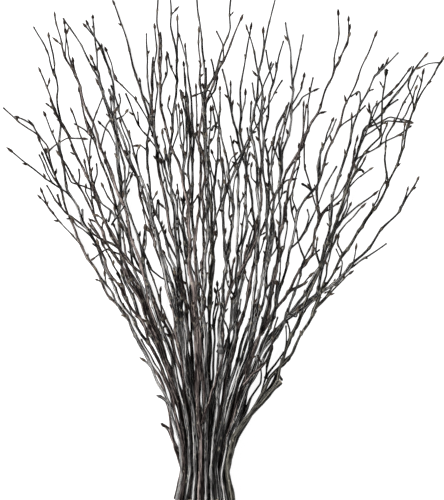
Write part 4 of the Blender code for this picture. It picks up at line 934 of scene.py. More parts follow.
def bud_places(strand, draw):
    """Where buds sit along a strand: turn by turn on opposite sides, up to the end bud."""
    run = strand.run()
    mark = BARE_END + between(BUD_PITCH, draw) * draw.random()
    side = draw.uniform(0.0, 2 * math.pi)
    buds = []
    while mark < run[-1] - BARE_END:
        place = float(np.interp(mark, run, np.arange(len(run))))
        lean = math.radians(between(BUD_LEAN, draw))
        length = between(BUD_LENGTH, draw)
        radius = between(BUD_RADIUS, draw)
        if value_at(strand.plan, place)[1] > SHEET_MIDDLE[1] - BUDS_FROM_DOWN:
            buds.append((place, side, lean, length, radius))
        side += math.pi + draw.uniform(-BUD_TWIST, BUD_TWIST)
        mark += between(BUD_PITCH, draw)
    return buds


def bud_directions(strand, place, side):
    """The way along the wood at a bud, and the way out of the wood on its side."""
    index = min(int(place), len(strand.points) - 2)
    along = Vector(strand.points[index + 1] - strand.points[index]).normalized()
    across = along.cross(Vector((0, 0, 1))).normalized()
    up = across.cross(along)
    upward = BUD_UPRIGHT * math.sin(side)
    if strand.points[index][2] < LOW_WOOD:
        upward = abs(upward)
    return along, (math.cos(side) * across + upward * up).normalized()


print("a bud every", BUD_PITCH, "mm, on opposite sides in turn")

# %% Reading a strand again
FINE_STEP, CORNER_READS = 1.5, 3


def rounded_line(points):
    """Reads straight lengths between the points at fine steps, with their corners rounded."""
    run = run_along(points[:, :3])
    marks = np.linspace(0.0, run[-1], round(run[-1] / FINE_STEP) + 1)
    line = np.column_stack([np.interp(marks, run, column) for column in points.T])
    half = CORNER_READS // 2
    calm = np.mean([line[start:len(line) - 2 * half + start] for start in range(CORNER_READS)], axis=0)
    line[half:-half] = calm
    return line, marks


def mark_of(strand, place):
    """How far along the fine line of a strand a place is."""
    run = strand.run()
    return float(np.interp(place, np.arange(len(run)), run)) * (strand.mark[-1] / run[-1])


def middle_at(strand, mark):
    """The middle of the wood at a mark on its fine line."""
    return np.array([np.interp(mark, strand.mark, column) for column in strand.fine.T])


print("millimetres between two rings of wood:", FINE_STEP)

# %% Turning at the buds
ZIGZAG = (0.2, 0.65)
SWAY, SWAY_RUN, SHOOT_SWAY = (0.5, 1.0), (38.0, 60.0), 0.6
STEM_BARE, SHOOT_BARE, CALM_END = 60.0, 6.0, 30.0


def sideways(strand, draw):
    """How far the wood stands beside its line: a turn at every bud and fork, and a slow sway."""
    turns = sorted(strand.nodes + strand.forks)
    sides = [between(ZIGZAG, draw) * (1 if index % 2 else -1) for index in range(len(turns))]
    swing = np.interp(strand.mark, [0.0] + turns + [strand.mark[-1]], [0.0] + sides + [0.0])
    swing = np.convolve(np.pad(swing, 1, "edge"), SOFTEN, "valid")
    bare, sway = (SHOOT_BARE, SHOOT_SWAY) if strand.parent else (STEM_BARE, 1.0)
    calm = np.clip((strand.mark - bare) / bare, 0.0, 1.0)
    calm *= np.clip((strand.mark[-1] - strand.mark) / CALM_END, 0.0, 1.0)
    waves = strand.mark / between(SWAY_RUN, draw) + draw.random()
    return swing + calm * between(SWAY, draw) * np.sin(2 * math.pi * waves) * sway


print("the wood stands at most", round(ZIGZAG[1] + SWAY[1], 2), "mm beside its line")

# %% Fine lines
PLAIN_END_SHARE, END_BUD_BACK = 0.3, 3.2
STUB_RUN, STUB_RADIUS, LEAST_RADIUS = 14.0, 1.1, 0.8
MEET_RUN, FINE_SEAT = 6.0, 0.85
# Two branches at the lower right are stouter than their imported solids.
STOUT = {"broken_low": 1.35, "low_right_long": 1.2}


def fine_lines(name, strands, draw):
    """Gives each strand of a branch its end bud, its side buds and its fine middle line."""
    for strand in strands:
        strand.end_bud = (between(BUD_LENGTH, draw), between(BUD_RADIUS, draw))
        strand.buds = bud_places(strand, draw)
    for strand in strands:
        points = strand.points.copy()
        last = points[-1] - points[-2]
        stub = strand.run()[-1] < STUB_RUN
        strand.plain_end = draw.random() < PLAIN_END_SHARE or stub or strand.broken
        if not strand.plain_end:
            points[-1] -= END_BUD_BACK * last / np.linalg.norm(last)
        line, strand.mark = rounded_line(np.column_stack([points, strand.radii]))
        strand.fine = line[:, :3]
        strand.thick = np.maximum(line[:, 3] * STOUT.get(name, 1.0), STUB_RADIUS if stub else LEAST_RADIUS)
        strand.nodes = [mark_of(strand, bud[0]) for bud in strand.buds]
        strand.forks = [mark_of(strand, child.place) for child in strands if child.parent is strand]
        swing = sideways(strand, draw)
        flow = np.gradient(strand.fine[:, :2], axis=0)
        flow /= np.linalg.norm(flow, axis=1)[:, None]
        strand.fine[:, 0] -= flow[:, 1] * swing
        strand.fine[:, 1] += flow[:, 0] * swing
        if strand.parent:
            joint = middle_at(strand.parent, mark_of(strand.parent, strand.place))
            strand.fine += (joint - strand.fine[0]) * np.exp(-strand.mark / MEET_RUN)[:, None]
        strand.fine[:, 2] = np.maximum(strand.fine[:, 2], FINE_SEAT * strand.thick)


for name, strands, draw in zip(BRANCHES, BUNCH, DRAWS):
    fine_lines(name, strands, draw)
print("rings of wood:", sum(len(strand.fine) for wood in BUNCH for strand in wood))

# %% Knots
KNOT_REACH = 3.0
# The place of each knot on the sheet, across and down, and its radius.
KNOTS = [
    (219, 351, 4.6), (219, 346, 3.4), (262, 328, 3.4), (271, 316, 2.6), (240, 312, 2.4), (227, 272, 2.4),
    (163, 338, 2.6), (151, 326, 2.6), (200, 262, 2.6), (288, 360, 2.6), (196, 318, 2.4), (150, 290, 2.2),
    (236, 360, 2.4), (224, 330, 2.2), (171, 372, 2.4), (206, 418, 2.2), (212, 432, 2.4), (252, 356, 2.2),
    (384, 68, 2.2), (384, 74, 1.9), (338, 65, 1.6), (113, 76, 1.8), (110, 112, 1.8), (166, 160, 1.8),
]


def add_knot(across, down, size):
    """Puts a knot on the uppermost wood near a place on the sheet."""
    spot = np.array(from_sheet([(across, down)])[0])
    near = []
    for strands in BUNCH:
        for strand in strands:
            gaps = np.linalg.norm(strand.fine[:, :2] - spot, axis=1)
            if gaps.min() < KNOT_REACH:
                near.append((strand.fine[gaps.argmin(), 2], strand.mark[gaps.argmin()], strand))
    if near:
        _, mark, strand = max(near, key=lambda choice: choice[0])
        strand.knots.append((mark, size))


for knot in KNOTS:
    add_knot(*knot)
print("knots:", sum(len(strand.knots) for wood in BUNCH for strand in wood), "of", len(KNOTS))

# %% [markdown]
# Wood and cut ends
#
# Drying bark shrinks into shallow wrinkles along the wood. The wood swells where it carries a bud
# and where a shoot leaves it, and birch bark has small resin warts. The foot of each branch was cut
# at a slant. All of this moves the corners of the mesh, ring by ring, because bump in the material
# alone would leave the edges of the wood smooth.

# %% Rings of corners
FLOOR_GAP = 0.02
NEARLY_UP = (0.0, 0.1, 1.0)
GRAIN_SPREAD = 400.0
# The two materials of a piece.
BARK, CUT = 0, 1


class Skin:
    """Gathers wood and buds into one surface, with its grain and with marks for its colours."""

    def __init__(self):
        self.corners, self.grain, self.marks = [], [], []
        self.faces, self.finishes = [], []
        self.total = 0

    def add(self, corners, grain, marks, finish=BARK):
        """Adds rings of corners and the faces between them. The rings of a cut end run inwards."""
        rings, sides = marks.shape[:2]
        faces = band_faces(rings, sides)
        if finish == CUT:
            faces = [face[::-1] for face in faces]
        self.corners.append(np.reshape(corners, (-1, 3)))
        self.grain.append(np.reshape(grain, (-1, 3)))
        self.marks.append(np.reshape(marks, (-1, 4)))
        self.faces += [tuple(corner + self.total for corner in face) for face in faces]
        self.finishes += [finish] * len(faces)
        self.total += rings * sides


def band_faces(rings, sides):
    """Four-sided faces between rings of corners."""
    ring, side = np.meshgrid(np.arange(rings - 1), np.arange(sides), indexing="ij")
    low, after = ring * sides + side, ring * sides + (side + 1) % sides
    return np.stack([low, after, after + sides, low + sides], axis=-1).reshape(-1, 4).tolist()


def turn_round(sides):
    """The angles of the corners of a ring."""
    return 2 * math.pi * np.arange(sides) / sides


def across_and_above(along):
    """The directions across and above, for wood that runs along."""
    across = np.cross(along, NEARLY_UP)
    across /= np.linalg.norm(across, axis=-1, keepdims=True)
    return across, np.cross(across, along)


def rings_round(middle, reach, angle, across, above):
    """Corners that stand round a middle line, one ring after the other."""
    outward = np.cos(angle)[:, None] * across[..., None, :] + np.sin(angle)[:, None] * above[..., None, :]
    return middle + reach[:, :, None] * outward


def keep_off_floor(corners):
    corners[:, :, 2] = np.maximum(corners[:, :, 2], FLOOR_GAP)


def even_marks(rings, sides, tone):
    """Marks for age, bud, pale spots and tone, of which only the tone is known yet."""
    marks = np.zeros((rings, sides, 4))
    marks[:, :, 3] = tone
    return marks


print("faces between two rings of twelve corners:", len(band_faces(2, 12)))

# %% Wrinkles, swellings and warts
WRINKLE, WRINKLE_RUN = 0.055, 9
LUMP, LUMP_RUN = 0.08, 17
NODE_SWELL, NODE_RUN = 0.42, 1.6
FORK_SWELL, FORK_RUN = 0.34, 3.8
COLLAR, COLLAR_RUN = 0.50, 2.4
END_KNOB, END_KNOB_RUN, END_KNOB_BACK = 0.35, 1.6, 1.0
KNOT_RUN, KNOT_LEAST, KNOT_ROUGH = 2.6, 0.8, 0.4
WART_SHARE, WART_RISE = 0.014, 0.12


def wandering(rings, sides, size, length, draw):
    """Values that change slowly along the wood and quickly round it."""
    window = np.hanning(length + 2)[1:-1]
    window /= math.sqrt((window ** 2).sum())
    rough = draw.normal(size=(sides, rings + length))
    return size * np.array([np.convolve(row, window, "same")[:rings] for row in rough]).T


def hump(marks, places, size, run):
    """A smooth swelling at each of the places along the wood."""
    total = np.zeros(len(marks))
    for place in places:
        total += size * np.exp(-((marks - place) / run) ** 2)
    return total


def bark_shape(strand, sides, draw):
    """How thick the wood is at each corner, against its plain radius, and its knots and warts."""
    rings = len(strand.fine)
    swellings = [(strand.nodes, NODE_SWELL, NODE_RUN), (strand.forks, FORK_SWELL, FORK_RUN)]
    if strand.parent:
        swellings.append(([0.0], COLLAR, COLLAR_RUN))
    if strand.plain_end:
        swellings.append(([strand.mark[-1] - END_KNOB_BACK], END_KNOB, END_KNOB_RUN))
    size = 1.0 + wandering(rings, 1, LUMP, LUMP_RUN, draw)
    size = size + wandering(rings, sides, WRINKLE, WRINKLE_RUN, draw)
    for places, rise, run in swellings:
        size += hump(strand.mark, places, rise, run)[:, None]
    knot = np.zeros(rings)
    for mark, height in strand.knots:
        knot += hump(strand.mark, [mark], height / strand.thick - 1.0, KNOT_RUN)
    size += knot[:, None] * (KNOT_LEAST + KNOT_ROUGH * draw.random((rings, sides)))
    warts = draw.random((rings, sides)) < WART_SHARE
    return size + WART_RISE * warts, knot, warts


print("warts: one corner of the bark in", round(1 / WART_SHARE))

# %% Round wood and cut ends
STEM_ROUND, SHOOT_ROUND = 12, 8
LEAST_SIZE, TIP_REACH = 0.7, 0.03
SLANT = (0.5, 1.1)
NODE_PALE, NODE_PALE_RUN = 0.35, 1.2
CUT_RINGS = (1.0, 0.84, 0.5, 0.12, 0.0)
CUT_GRAIN = 10.0


def add_wood(skin, strand, tone, draw):
    """The round wood of one strand."""
    sides = SHOOT_ROUND if strand.parent else STEM_ROUND
    size, knot, warts = bark_shape(strand, sides, draw)
    along = np.gradient(strand.fine, axis=0)
    along /= np.linalg.norm(along, axis=1)[:, None]
    angle = turn_round(sides)
    reach = strand.thick[:, None] * np.maximum(size, LEAST_SIZE)
    if not strand.broken:
        reach[-1] = TIP_REACH
    corners = rings_round(strand.fine[:, None], reach, angle, *across_and_above(along))
    if not strand.parent:
        slant = draw.uniform(*SLANT) * strand.thick[0] * np.cos(angle - draw.uniform(0.0, 2 * math.pi))
        corners[0] += slant[:, None] * along[0]
    keep_off_floor(corners)
    grain = np.stack([strand.thick[:, None] * np.cos(angle), strand.thick[:, None] * np.sin(angle),
                      np.broadcast_to(strand.mark[:, None], size.shape)], axis=-1)
    grain += draw.uniform(0.0, GRAIN_SPREAD, 3)
    age = (strand.thick - SHOOT_TIP_RADIUS) / (FOOT_RADIUS[1] - SHOOT_TIP_RADIUS)
    marks = even_marks(*size.shape, tone)
    marks[:, :, 0] = (np.clip(age, 0.0, 1.0) * np.clip(1.0 - knot, 0.0, 1.0))[:, None]
    marks[:, :, 2] = np.maximum(warts, hump(strand.mark, strand.nodes, NODE_PALE, NODE_PALE_RUN)[:, None])
    skin.add(corners, grain, marks)
    if not strand.parent:
        add_cut_end(skin, corners[0], tone)
    if strand.broken:
        add_cut_end(skin, corners[-1][::-1], tone)


def add_cut_end(skin, rim, tone):
    """A cut end: bark round the rim, then pale wood, then the pith."""
    middle = rim.mean(0)
    rings = [middle + share * (rim - middle) for share in CUT_RINGS]
    grain = [[(share * math.cos(turn), share * math.sin(turn), CUT_GRAIN * tone)
              for turn in turn_round(len(rim))] for share in CUT_RINGS]
    skin.add(rings, grain, even_marks(len(CUT_RINGS), len(rim), tone), CUT)


print("corners round a stem and a shoot:", STEM_ROUND, "and", SHOOT_ROUND)

# %% [markdown]
# Buds
#
# A birch bud is a spindle of scales that lie on each other like tiles, and small ones sit on short
# ringed spurs. A smooth cone would be quicker, but the light catches every edge of a scale, so each
# bud is built from rings that step in and out. A bud that would touch another branch is left out.

# %% Buds
BUD_ROUND = 8
BUD_RINGS = np.array((0.0, 0.06, 0.13, 0.21, 0.22, 0.31, 0.40, 0.41,
                      0.51, 0.61, 0.62, 0.73, 0.84, 0.85, 0.94, 1.0))
SCALE_EDGES = np.array((0.0, 0.215, 0.405, 0.615, 0.845, 1.02))
SCALE_STEP, SCALE_SWAY = 0.17, 0.035
BELLY_PLACE, BELLY_ROUND, ROOT_SHARE = 0.7, 0.82, 0.02
FOOT_END, FOOT_REACH, POINT_START, POINT_REACH = 0.1, 0.30, 0.99, 0.02
BUD_BEND = 0.10
SCALE_LOW, SCALE_HIGH, PALE_POINT, PALE_FROM = 0.25, 0.75, 0.4, 0.9


def add_bud(skin, root, along, length, radius, draw):
    """A pointed bud whose scales lie on each other like tiles."""
    profile = np.sin(math.pi * np.clip(BUD_RINGS, ROOT_SHARE, 1.0) ** BELLY_PLACE) ** BELLY_ROUND
    profile = np.maximum(profile, FOOT_REACH * (BUD_RINGS < FOOT_END))
    along = along / np.linalg.norm(along)
    across, above = across_and_above(along)
    turn = draw.uniform(0.0, 2 * math.pi)
    angle = turn_round(BUD_ROUND)
    scales = np.searchsorted(SCALE_EDGES, BUD_RINGS, "right") - 1
    low, high = SCALE_EDGES[scales], SCALE_EDGES[scales + 1]
    up_scale = (BUD_RINGS - low) / (high - low)
    inner = ((BUD_RINGS > FOOT_END) & (BUD_RINGS < POINT_START))[:, None]
    lift = BUD_RINGS[:, None] + SCALE_SWAY * np.cos(angle + turn + math.pi * scales[:, None]) * inner
    step = 1.0 + SCALE_STEP * (0.5 - up_scale)[:, None] * inner
    bend = BUD_BEND * length * draw.uniform(-1.0, 1.0) * BUD_RINGS ** 2
    middle = root + length * lift[:, :, None] * along + bend[:, None, None] * across
    reach = radius * profile[:, None] * step + np.zeros(BUD_ROUND)
    reach[-1] = POINT_REACH
    corners = rings_round(middle, reach, angle, across, above)
    keep_off_floor(corners)
    grain = np.stack([reach * np.cos(angle), reach * np.sin(angle), length * lift], axis=-1)
    grain += draw.uniform(0.0, GRAIN_SPREAD, 3)
    marks = even_marks(*reach.shape, draw.uniform(-1.0, 1.0))
    marks[:, :, 1] = SCALE_LOW + SCALE_HIGH * np.clip(up_scale, 0.0, 1.0)[:, None]
    marks[:, :, 2] = PALE_POINT * (BUD_RINGS > PALE_FROM)[:, None]
    skin.add(corners, grain, marks)


print("rings in a bud:", len(BUD_RINGS), "and scales:", len(SCALE_EDGES) - 1)

# %% Spurs
SPUR_SHARE, SPUR_LENGTH, SPUR_RADIUS = 0.25, (1.0, 2.8), 0.7
SPUR_ROUND, SPUR_PITCH, SPUR_ROOT = 6, 0.5, 0.6
SPUR_RIDGE, SPUR_FOOT = 0.22, 1.35


def add_spur(skin, root, along, length, tone, draw):
    """A short ringed stalk under a bud, as slow-growing twigs have."""
    rings = max(3, int(length / SPUR_PITCH))
    line = root + np.linspace(-SPUR_ROOT, length, rings)[:, None] * along
    reach = SPUR_RADIUS * (1.0 + SPUR_RIDGE * (np.arange(rings) % 2))
    reach[:2] *= SPUR_FOOT
    corners = rings_round(line[:, None], reach[:, None], turn_round(SPUR_ROUND), *across_and_above(along))
    keep_off_floor(corners)
    grain = corners + draw.uniform(0.0, GRAIN_SPREAD, 3)
    skin.add(corners, grain, even_marks(rings, SPUR_ROUND, tone))


print("rings on the longest spur:", int(SPUR_LENGTH[1] / SPUR_PITCH))

# %% Buds along a strand
BUD_SHARE, FIRST_BUD, BARE_SHARE = 7, 1, 0.6
END_LENGTH, END_GIRTH = (0.95, 1.35), (1.0, 1.3)
SMALL_BUD, LONG_BUD, LONG_SHARE, MOST_GIRTH = (0.45, 0.85), (1.1, 1.45), 0.2, 1.15
BUD_SEAT, SPUR_SEAT, SPUR_LEAN, SPUR_TURN = 0.35, 0.8, 0.35, 0.45


def add_buds(skin, number, strand, tone, draw):
    """The end bud and the side buds of one strand, and how many they are."""
    made = 0
    if not strand.plain_end:
        flow = strand.points[-1] - strand.points[-2]
        flow /= np.linalg.norm(flow)
        length, radius = strand.end_bud
        length, radius = length * draw.uniform(*END_LENGTH), radius * draw.uniform(*END_GIRTH)
        add_bud(skin, strand.points[-1] - length * flow, flow, length, radius, draw)
        made = 1
    for count, (place, side, lean, length, radius) in enumerate(strand.buds):
        spur = 0.0
        if count % BUD_SHARE != FIRST_BUD:
            if draw.random() < BARE_SHARE:
                continue
            change = draw.uniform(*(LONG_BUD if draw.random() < LONG_SHARE else SMALL_BUD))
            length, radius = length * change, radius * (0.5 + 0.5 * min(change, MOST_GIRTH))
            if draw.random() < SPUR_SHARE:
                spur = draw.uniform(*SPUR_LENGTH)
                lean += SPUR_LEAN
        along, outward = bud_directions(strand, place, side)
        direction = np.array((math.cos(lean) * along + math.sin(lean) * outward).normalized())
        wood = float(np.interp(strand.nodes[count], strand.mark, strand.thick))
        seat = middle_at(strand, strand.nodes[count])
        seat += (SPUR_SEAT if spur else BUD_SEAT) * wood * np.array(outward)
        root = seat + spur * direction
        if not NEIGHBOURS.clear(number, Vector(root), Vector(root + length * direction), radius):
            continue
        if spur:
            add_spur(skin, seat, direction, spur, tone, draw)
            direction = np.array(along) * SPUR_TURN + direction
        add_bud(skin, root, direction, length, radius, draw)
        made += 1
    return made


print("buds of full size: one in", BUD_SHARE)

# %% [markdown]
# Bark
#
# Dry birch twigs are almost black, and the hollows of their wrinkles get a painted shade that is
# darker still. Painted highlights run along the ridges of the wood as pale streaks, weathered grey
# comes in long patches, and warts and breathing pores are small pale dots. The youngest wood and
# the buds are browner. A picture of bark would repeat
# along the branches, so the colours come from noise that is stretched along the wood. The three
# finishes share one recipe with different colours.

# %% A recipe for shader values
class Value:
    """A number in a recipe. Adding or multiplying values places the nodes that do it."""

    def __init__(self, recipe, socket):
        self.recipe, self.socket = recipe, socket

    def maths(self, operation, first, second=0.0):
        return self.recipe.node("ShaderNodeMath", {"operation": operation}, {0: first, 1: second})

    def __add__(self, other):
        return self.maths("ADD", self, other)

    def __radd__(self, other):
        return self.maths("ADD", other, self)

    def __sub__(self, other):
        return self.maths("SUBTRACT", self, other)

    def __rsub__(self, other):
        return self.maths("SUBTRACT", other, self)

    def __mul__(self, other):
        return self.maths("MULTIPLY", self, other)

    def __rmul__(self, other):
        return self.maths("MULTIPLY", other, self)

    def at_least(self, other):
        """The larger of two values."""
        return self.maths("MAXIMUM", self, other)


print("a value can be added, subtracted and multiplied")

# %% The nodes of a material
class Recipe:
    """The nodes of one material, round its own Principled BSDF."""

    def __init__(self, name):
        self.material = bpy.data.materials.new(name)
        self.material.use_nodes = True
        self.tree = self.material.node_tree
        self.shader = self.tree.nodes["Principled BSDF"]

    def place(self, kind, settings, inputs):
        """Places a node: first its settings, then a number or a link for each input."""
        node = self.tree.nodes.new(kind)
        for name, setting in (settings or {}).items():
            setattr(node, name, setting)
        for name, value in (inputs or {}).items():
            self.feed(node.inputs[name], value)
        return node

    def node(self, kind, settings=None, inputs=None, output=0):
        """Places a node and reads one of its outputs."""
        return Value(self, self.place(kind, settings, inputs).outputs[output])

    def split(self, kind, inputs, outputs):
        """Places a node that takes a colour or a place apart, and reads several of its outputs."""
        node = self.place(kind, None, inputs)
        return [Value(self, node.outputs[output]) for output in outputs]

    def feed(self, socket, value):
        if isinstance(value, Value):
            self.tree.links.new(value.socket, socket)
        else:
            socket.default_value = value

    def surface(self, inputs):
        """Gives the shader's own sockets a number, a colour or a link."""
        for name, value in inputs.items():
            self.feed(self.shader.inputs[name], value)

    def attribute(self, name, output):
        return self.node("ShaderNodeAttribute", {"attribute_name": name}, output=output)

    def noise(self, place, scale, detail):
        """Soft noise that wanders round 0.5, read from a stretched place."""
        place = self.node("ShaderNodeMapping", {"vector_type": "POINT"}, {"Vector": place, "Scale": scale})
        return self.node("ShaderNodeTexNoise", None, {"Vector": place, "Scale": 1.0, "Detail": detail})

    def ramp(self, value, low, high, to_low=0.0, to_high=1.0):
        """Turns low to high into a smooth rise from to_low to to_high."""
        settings = {"interpolation_type": "SMOOTHSTEP"}
        inputs = {"Value": value, "From Min": low, "From Max": high, "To Min": to_low, "To Max": to_high}
        return self.node("ShaderNodeMapRange", settings, inputs)

    def blend(self, share, first, second):
        """Mixes two colours."""
        return self.node("ShaderNodeMix", {"data_type": "RGBA"}, {0: share, 6: first, 7: second}, output=2)


print("every node of a material comes from one method")

# %% Three barks
BARKS = {
    # The darkest colour of each bark is a painted shade for the hollows; the palest serves both the
    # weathered patches and the painted highlight streaks.
    "bark_grey": dict(hollow_shade=(0.001, 0.001, 0.001, 1), body=(0.007, 0.006, 0.006, 1),
                      weathering_and_highlight=(0.440, 0.430, 0.422, 1), young=(0.005, 0.004, 0.004, 1)),
    "bark_red": dict(hollow_shade=(0.002, 0.001, 0.001, 1), body=(0.015, 0.009, 0.008, 1),
                     weathering_and_highlight=(0.300, 0.245, 0.230, 1), young=(0.008, 0.005, 0.004, 1)),
    "bark_olive": dict(hollow_shade=(0.002, 0.002, 0.001, 1), body=(0.008, 0.007, 0.005, 1),
                       weathering_and_highlight=(0.175, 0.165, 0.138, 1), young=(0.007, 0.006, 0.004, 1)),
}
BUD_DARK, BUD_BROWN, BUD_TAN = (0.015, 0.010, 0.008, 1), (0.044, 0.030, 0.023, 1), (0.125, 0.100, 0.075, 1)
BUD_EDGE, WART_PALE = (0.022, 0.014, 0.011, 1), (0.46, 0.42, 0.34, 1)
WRINKLE_GRAIN, PATCH_GRAIN = ((2.3, 2.3, 0.17), 4.0), ((0.55, 0.55, 0.045), 2.0)
# The long thin streaks are painted highlights: pale lines along the ridges that stand in for the shine of
# the light on the wood.
HIGHLIGHT_STREAK_GRAIN, SPECKLE_GRAIN = ((1.15, 1.15, 0.024), 3.0), ((2.6, 2.6, 1.7), 2.0)
RIDGE, YOUNG = (0.40, 0.64), (0.03, 0.35)
PATCH, PATCH_RIDGE, PATCH_TONE, PATCH_SHARE = (0.44, 0.62), (0.50, 0.62), 0.13, 0.65
# Painted highlight streaks: how wide they are, which ridges they keep to, and how much the branch tone adds.
HIGHLIGHT_STREAK, HIGHLIGHT_STREAK_RIDGE, HIGHLIGHT_STREAK_TONE = (0.54, 0.60), (0.32, 0.44), 0.02
WEATHERING_AND_HIGHLIGHT_BY_AGE = (0.0, 0.6, 0.15, 1.0)
PORE, PORE_AGE, WART_COLOUR, WART_HEIGHT, SPECKLE_HEIGHT = (0.73, 0.78), (0.10, 0.55), 0.6, 0.5, 0.35
BROWN_BUDS, TAN_BUDS, SCALE_EDGE, BUD_ONLY = (-0.9, 0.3), (0.4, 0.95), (0.80, 1.0), (0.10, 0.20)
RIDGE_ROUGH, HOLLOW_ROUGH, AGE_SHINE, BARK_SHINE = 0.36, 0.26, 0.10, 0.10
BUMP_STRENGTH, BUMP_HEIGHT = 0.7, 0.00035


def bark(name, colours):
    """Dry bark: painted shade in the hollows, painted highlight streaks, weathered patches, warts, and brown
    buds.
    """
    recipe = Recipe(name)
    place = recipe.attribute("grain", "Vector")
    marks = recipe.attribute("marks", "Color")
    age, bud, pale = recipe.split("ShaderNodeSeparateColor", {"Color": marks}, ("Red", "Green", "Blue"))
    tone = recipe.attribute("marks", "Alpha")
    wrinkles = recipe.noise(place, *WRINKLE_GRAIN)
    patches = recipe.noise(place, *PATCH_GRAIN)
    highlight_noise = recipe.noise(place, *HIGHLIGHT_STREAK_GRAIN)
    speckle = recipe.noise(place, *SPECKLE_GRAIN)
    ridge = recipe.ramp(wrinkles, *RIDGE)
    patch = recipe.ramp(patches + PATCH_TONE * tone, *PATCH) * recipe.ramp(wrinkles, *PATCH_RIDGE)
    # Painted highlights: pale streaks along the ridges of the wood. Below, they join the real weathered
    # patches in one pale mark.
    painted_highlight = recipe.ramp(highlight_noise + HIGHLIGHT_STREAK_TONE * tone, *HIGHLIGHT_STREAK) * recipe.ramp(wrinkles, *HIGHLIGHT_STREAK_RIDGE)
    weathering_and_highlight = (patch * PATCH_SHARE).at_least(painted_highlight)
    pores = recipe.ramp(speckle, *PORE) * recipe.ramp(age, *PORE_AGE)
    body = recipe.blend(recipe.ramp(age, *YOUNG), colours["young"], colours["body"])
    # The hollows between the wrinkles get a painted shade, the darkest colour of the bark.
    colour = recipe.blend(ridge, colours["hollow_shade"], body)
    colour = recipe.blend(weathering_and_highlight * recipe.ramp(age, *WEATHERING_AND_HIGHLIGHT_BY_AGE), colour, colours["weathering_and_highlight"])
    skin = recipe.blend(recipe.ramp(tone, *BROWN_BUDS), BUD_DARK, BUD_BROWN)
    skin = recipe.blend(recipe.ramp(tone, *TAN_BUDS), skin, BUD_TAN)
    scales = recipe.blend(recipe.ramp(bud, *SCALE_EDGE), skin, BUD_EDGE)
    colour = recipe.blend(recipe.ramp(bud, *BUD_ONLY), colour, scales)
    colour = recipe.blend(pores.at_least(pale * WART_COLOUR), colour, WART_PALE)
    height = wrinkles + SPECKLE_HEIGHT * speckle + WART_HEIGHT * pale
    bump = {"Strength": BUMP_STRENGTH, "Distance": BUMP_HEIGHT, "Height": height}
    recipe.surface({"Base Color": colour,
                    "Roughness": RIDGE_ROUGH + HOLLOW_ROUGH * wrinkles - AGE_SHINE * ridge * age,
                    "Specular IOR Level": BARK_SHINE,
                    "Normal": recipe.node("ShaderNodeBump", None, bump)})
    return recipe.material


FINISHES = {name: bark(name, colours) for name, colours in BARKS.items()}
print("finishes:", ", ".join(FINISHES))

# %% Cut wood
RING_DARK, RING_PALE = (0.42, 0.33, 0.21, 1), (0.62, 0.53, 0.37, 1)
PITH_DARK, RIM_DARK = (0.16, 0.10, 0.06, 1), (0.030, 0.024, 0.021, 1)
RING_COUNT, RING, PITH, RIM = 26.0, (-0.6, 1.6), (0.10, 0.20), (0.86, 0.92)
FIBRE_GRAIN, CUT_ROUGH = ((7.0, 7.0, 1.0), 3.0), 0.8


def cut_wood():
    """Pale wood with faint rings, a dark pith and a rim of bark."""
    recipe = Recipe("cut_wood")
    place = recipe.attribute("grain", "Vector")
    across, above = recipe.split("ShaderNodeSeparateXYZ", {"Vector": place}, ("X", "Y"))
    squared = across * across + above * above
    distance = squared.maths("SQRT", squared)
    rings = distance.maths("SINE", distance * RING_COUNT) + recipe.noise(place, *FIBRE_GRAIN)
    colour = recipe.blend(recipe.ramp(rings, *RING), RING_DARK, RING_PALE)
    colour = recipe.blend(recipe.ramp(distance, *PITH), PITH_DARK, colour)
    colour = recipe.blend(recipe.ramp(distance, *RIM), colour, RIM_DARK)
    recipe.surface({"Base Color": colour, "Roughness": CUT_ROUGH})
    return recipe.material


CUT_WOOD = cut_wood()
print("finish of the cut ends:", CUT_WOOD.name)

# %% [markdown]
# The bunch
#
# Each branch becomes one piece, which stands for its packed branch and rides on the same body. The
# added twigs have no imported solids. They are gathered into one piece for each bark, because a
# piece for each twig would be slow to open and to shade.

# %% Building the branches
BRANCH_SEED, TWIGS_SEED = 500, 900


def wood_piece(name, wood, finish, seed, mixed=False):
    """Wood and buds in one piece: a branch with its cut foot, or twigs of mixed tones."""
    draw = np.random.default_rng(seed)
    tone = draw.uniform(-1.0, 1.0)
    skin = Skin()
    buds = 0
    for number, strand in wood:
        if mixed:
            tone = draw.uniform(-1.0, 1.0)
        add_wood(skin, strand, tone, draw)
        buds += add_buds(skin, number, strand, tone, draw)
    mesh = bpy.data.meshes.new(name)
    corners = np.concatenate(skin.corners) * MILLIMETRE
    mesh.from_pydata(corners.tolist(), [], skin.faces)
    mesh.polygons.foreach_set("material_index", skin.finishes)
    mesh.shade_smooth()
    grain = mesh.attributes.new("grain", "FLOAT_VECTOR", "POINT")
    grain.data.foreach_set("vector", np.concatenate(skin.grain).ravel())
    marks = mesh.attributes.new("marks", "FLOAT_COLOR", "POINT")
    marks.data.foreach_set("color", np.concatenate(skin.marks).ravel())
    mesh.materials.append(FINISHES[finish])
    mesh.materials.append(CUT_WOOD)
    piece = bpy.data.objects.new(name, mesh)
    bpy.context.scene.collection.objects.link(piece)
    triangles = sum(len(face.vertices) - 2 for face in mesh.polygons)
    return piece, np.array((buds, triangles))


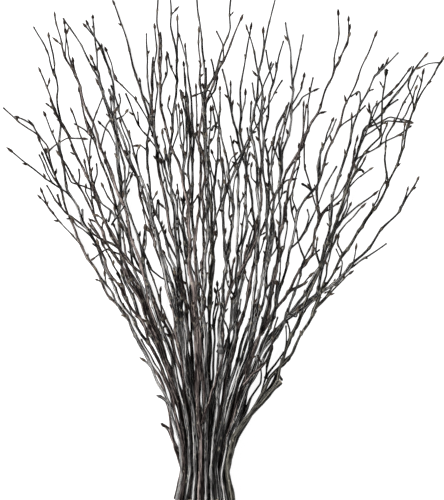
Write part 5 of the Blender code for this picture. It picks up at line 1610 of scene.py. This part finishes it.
made = np.zeros(2, int)
for number, (name, route) in enumerate(BRANCHES.items()):
    finish = f"bark_{route['bark']}"
    wood = [(number, strand) for strand in BUNCH[number] if not strand.extra]
    piece, counts = wood_piece(f"{name}_in_bark", wood, finish, BRANCH_SEED + number)
    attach(piece, "root")
    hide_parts(f"branch_{name}")
    made += counts
for count, finish in enumerate(FINISHES):
    wood = [(number, strand) for number, route in enumerate(BRANCHES.values())
            for strand in BUNCH[number] if strand.extra and finish == f"bark_{route['bark']}"]
    piece, counts = wood_piece(f"twigs_in_{finish}", wood, finish, TWIGS_SEED + count, mixed=True)
    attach(piece, "root")
    made += counts
print("branches:", len(BRANCHES), "buds:", made[0], "triangles:", made[1])

# %% [markdown]
# Floor and light
#
# A white sheet and soft light from above and from the left show every twig, with hardly a shadow.

# %% Floor and light
SHEET_SIZE, SHEET_DROP = 12.0, 0.0005
WHITE, SHEET_GREY = (1.0, 1.0, 1.0, 1.0), (0.30, 0.30, 0.30, 1.0)
SHEET_ROUGH, SHEET_SHINE, SHEET_GLOW, ROOM_GLOW = 0.9, 0.1, 0.92, 0.18
LIGHT_AIM = (0.0, 0.0, 0.05)


def add_floor():
    """A large white sheet just below the bunch."""
    bpy.ops.mesh.primitive_plane_add(size=SHEET_SIZE, location=(0.0, 0.0, -SHEET_DROP))
    floor = bpy.context.object
    floor.name = "white_sheet"
    recipe = Recipe("white_sheet")
    recipe.surface({"Base Color": SHEET_GREY, "Roughness": SHEET_ROUGH, "Specular IOR Level": SHEET_SHINE,
                    "Emission Color": WHITE, "Emission Strength": SHEET_GLOW})
    floor.data.materials.append(recipe.material)


def add_light(name, place, size, power):
    """A soft square light that faces the middle of the bunch."""
    light = bpy.data.lights.new(name, "AREA")
    light.size = size
    light.energy = power
    lamp = bpy.data.objects.new(name, light)
    lamp.location = place
    lamp.rotation_euler = (Vector(LIGHT_AIM) - Vector(place)).to_track_quat("-Z", "Y").to_euler()
    bpy.context.scene.collection.objects.link(lamp)


world = bpy.data.worlds.new("soft_room")
bpy.context.scene.world = world
world.use_nodes = True
world.node_tree.nodes["Background"].inputs["Color"].default_value = WHITE
world.node_tree.nodes["Background"].inputs["Strength"].default_value = ROOM_GLOW
bpy.context.scene.view_settings.view_transform = "Standard"
add_floor()
add_light("key_light", (-1.7, 0.5, 1.9), 0.4, 120.0)
add_light("fill_light", (1.4, -0.8, 2.4), 1.8, 16.0)
print("floor and lights ready")
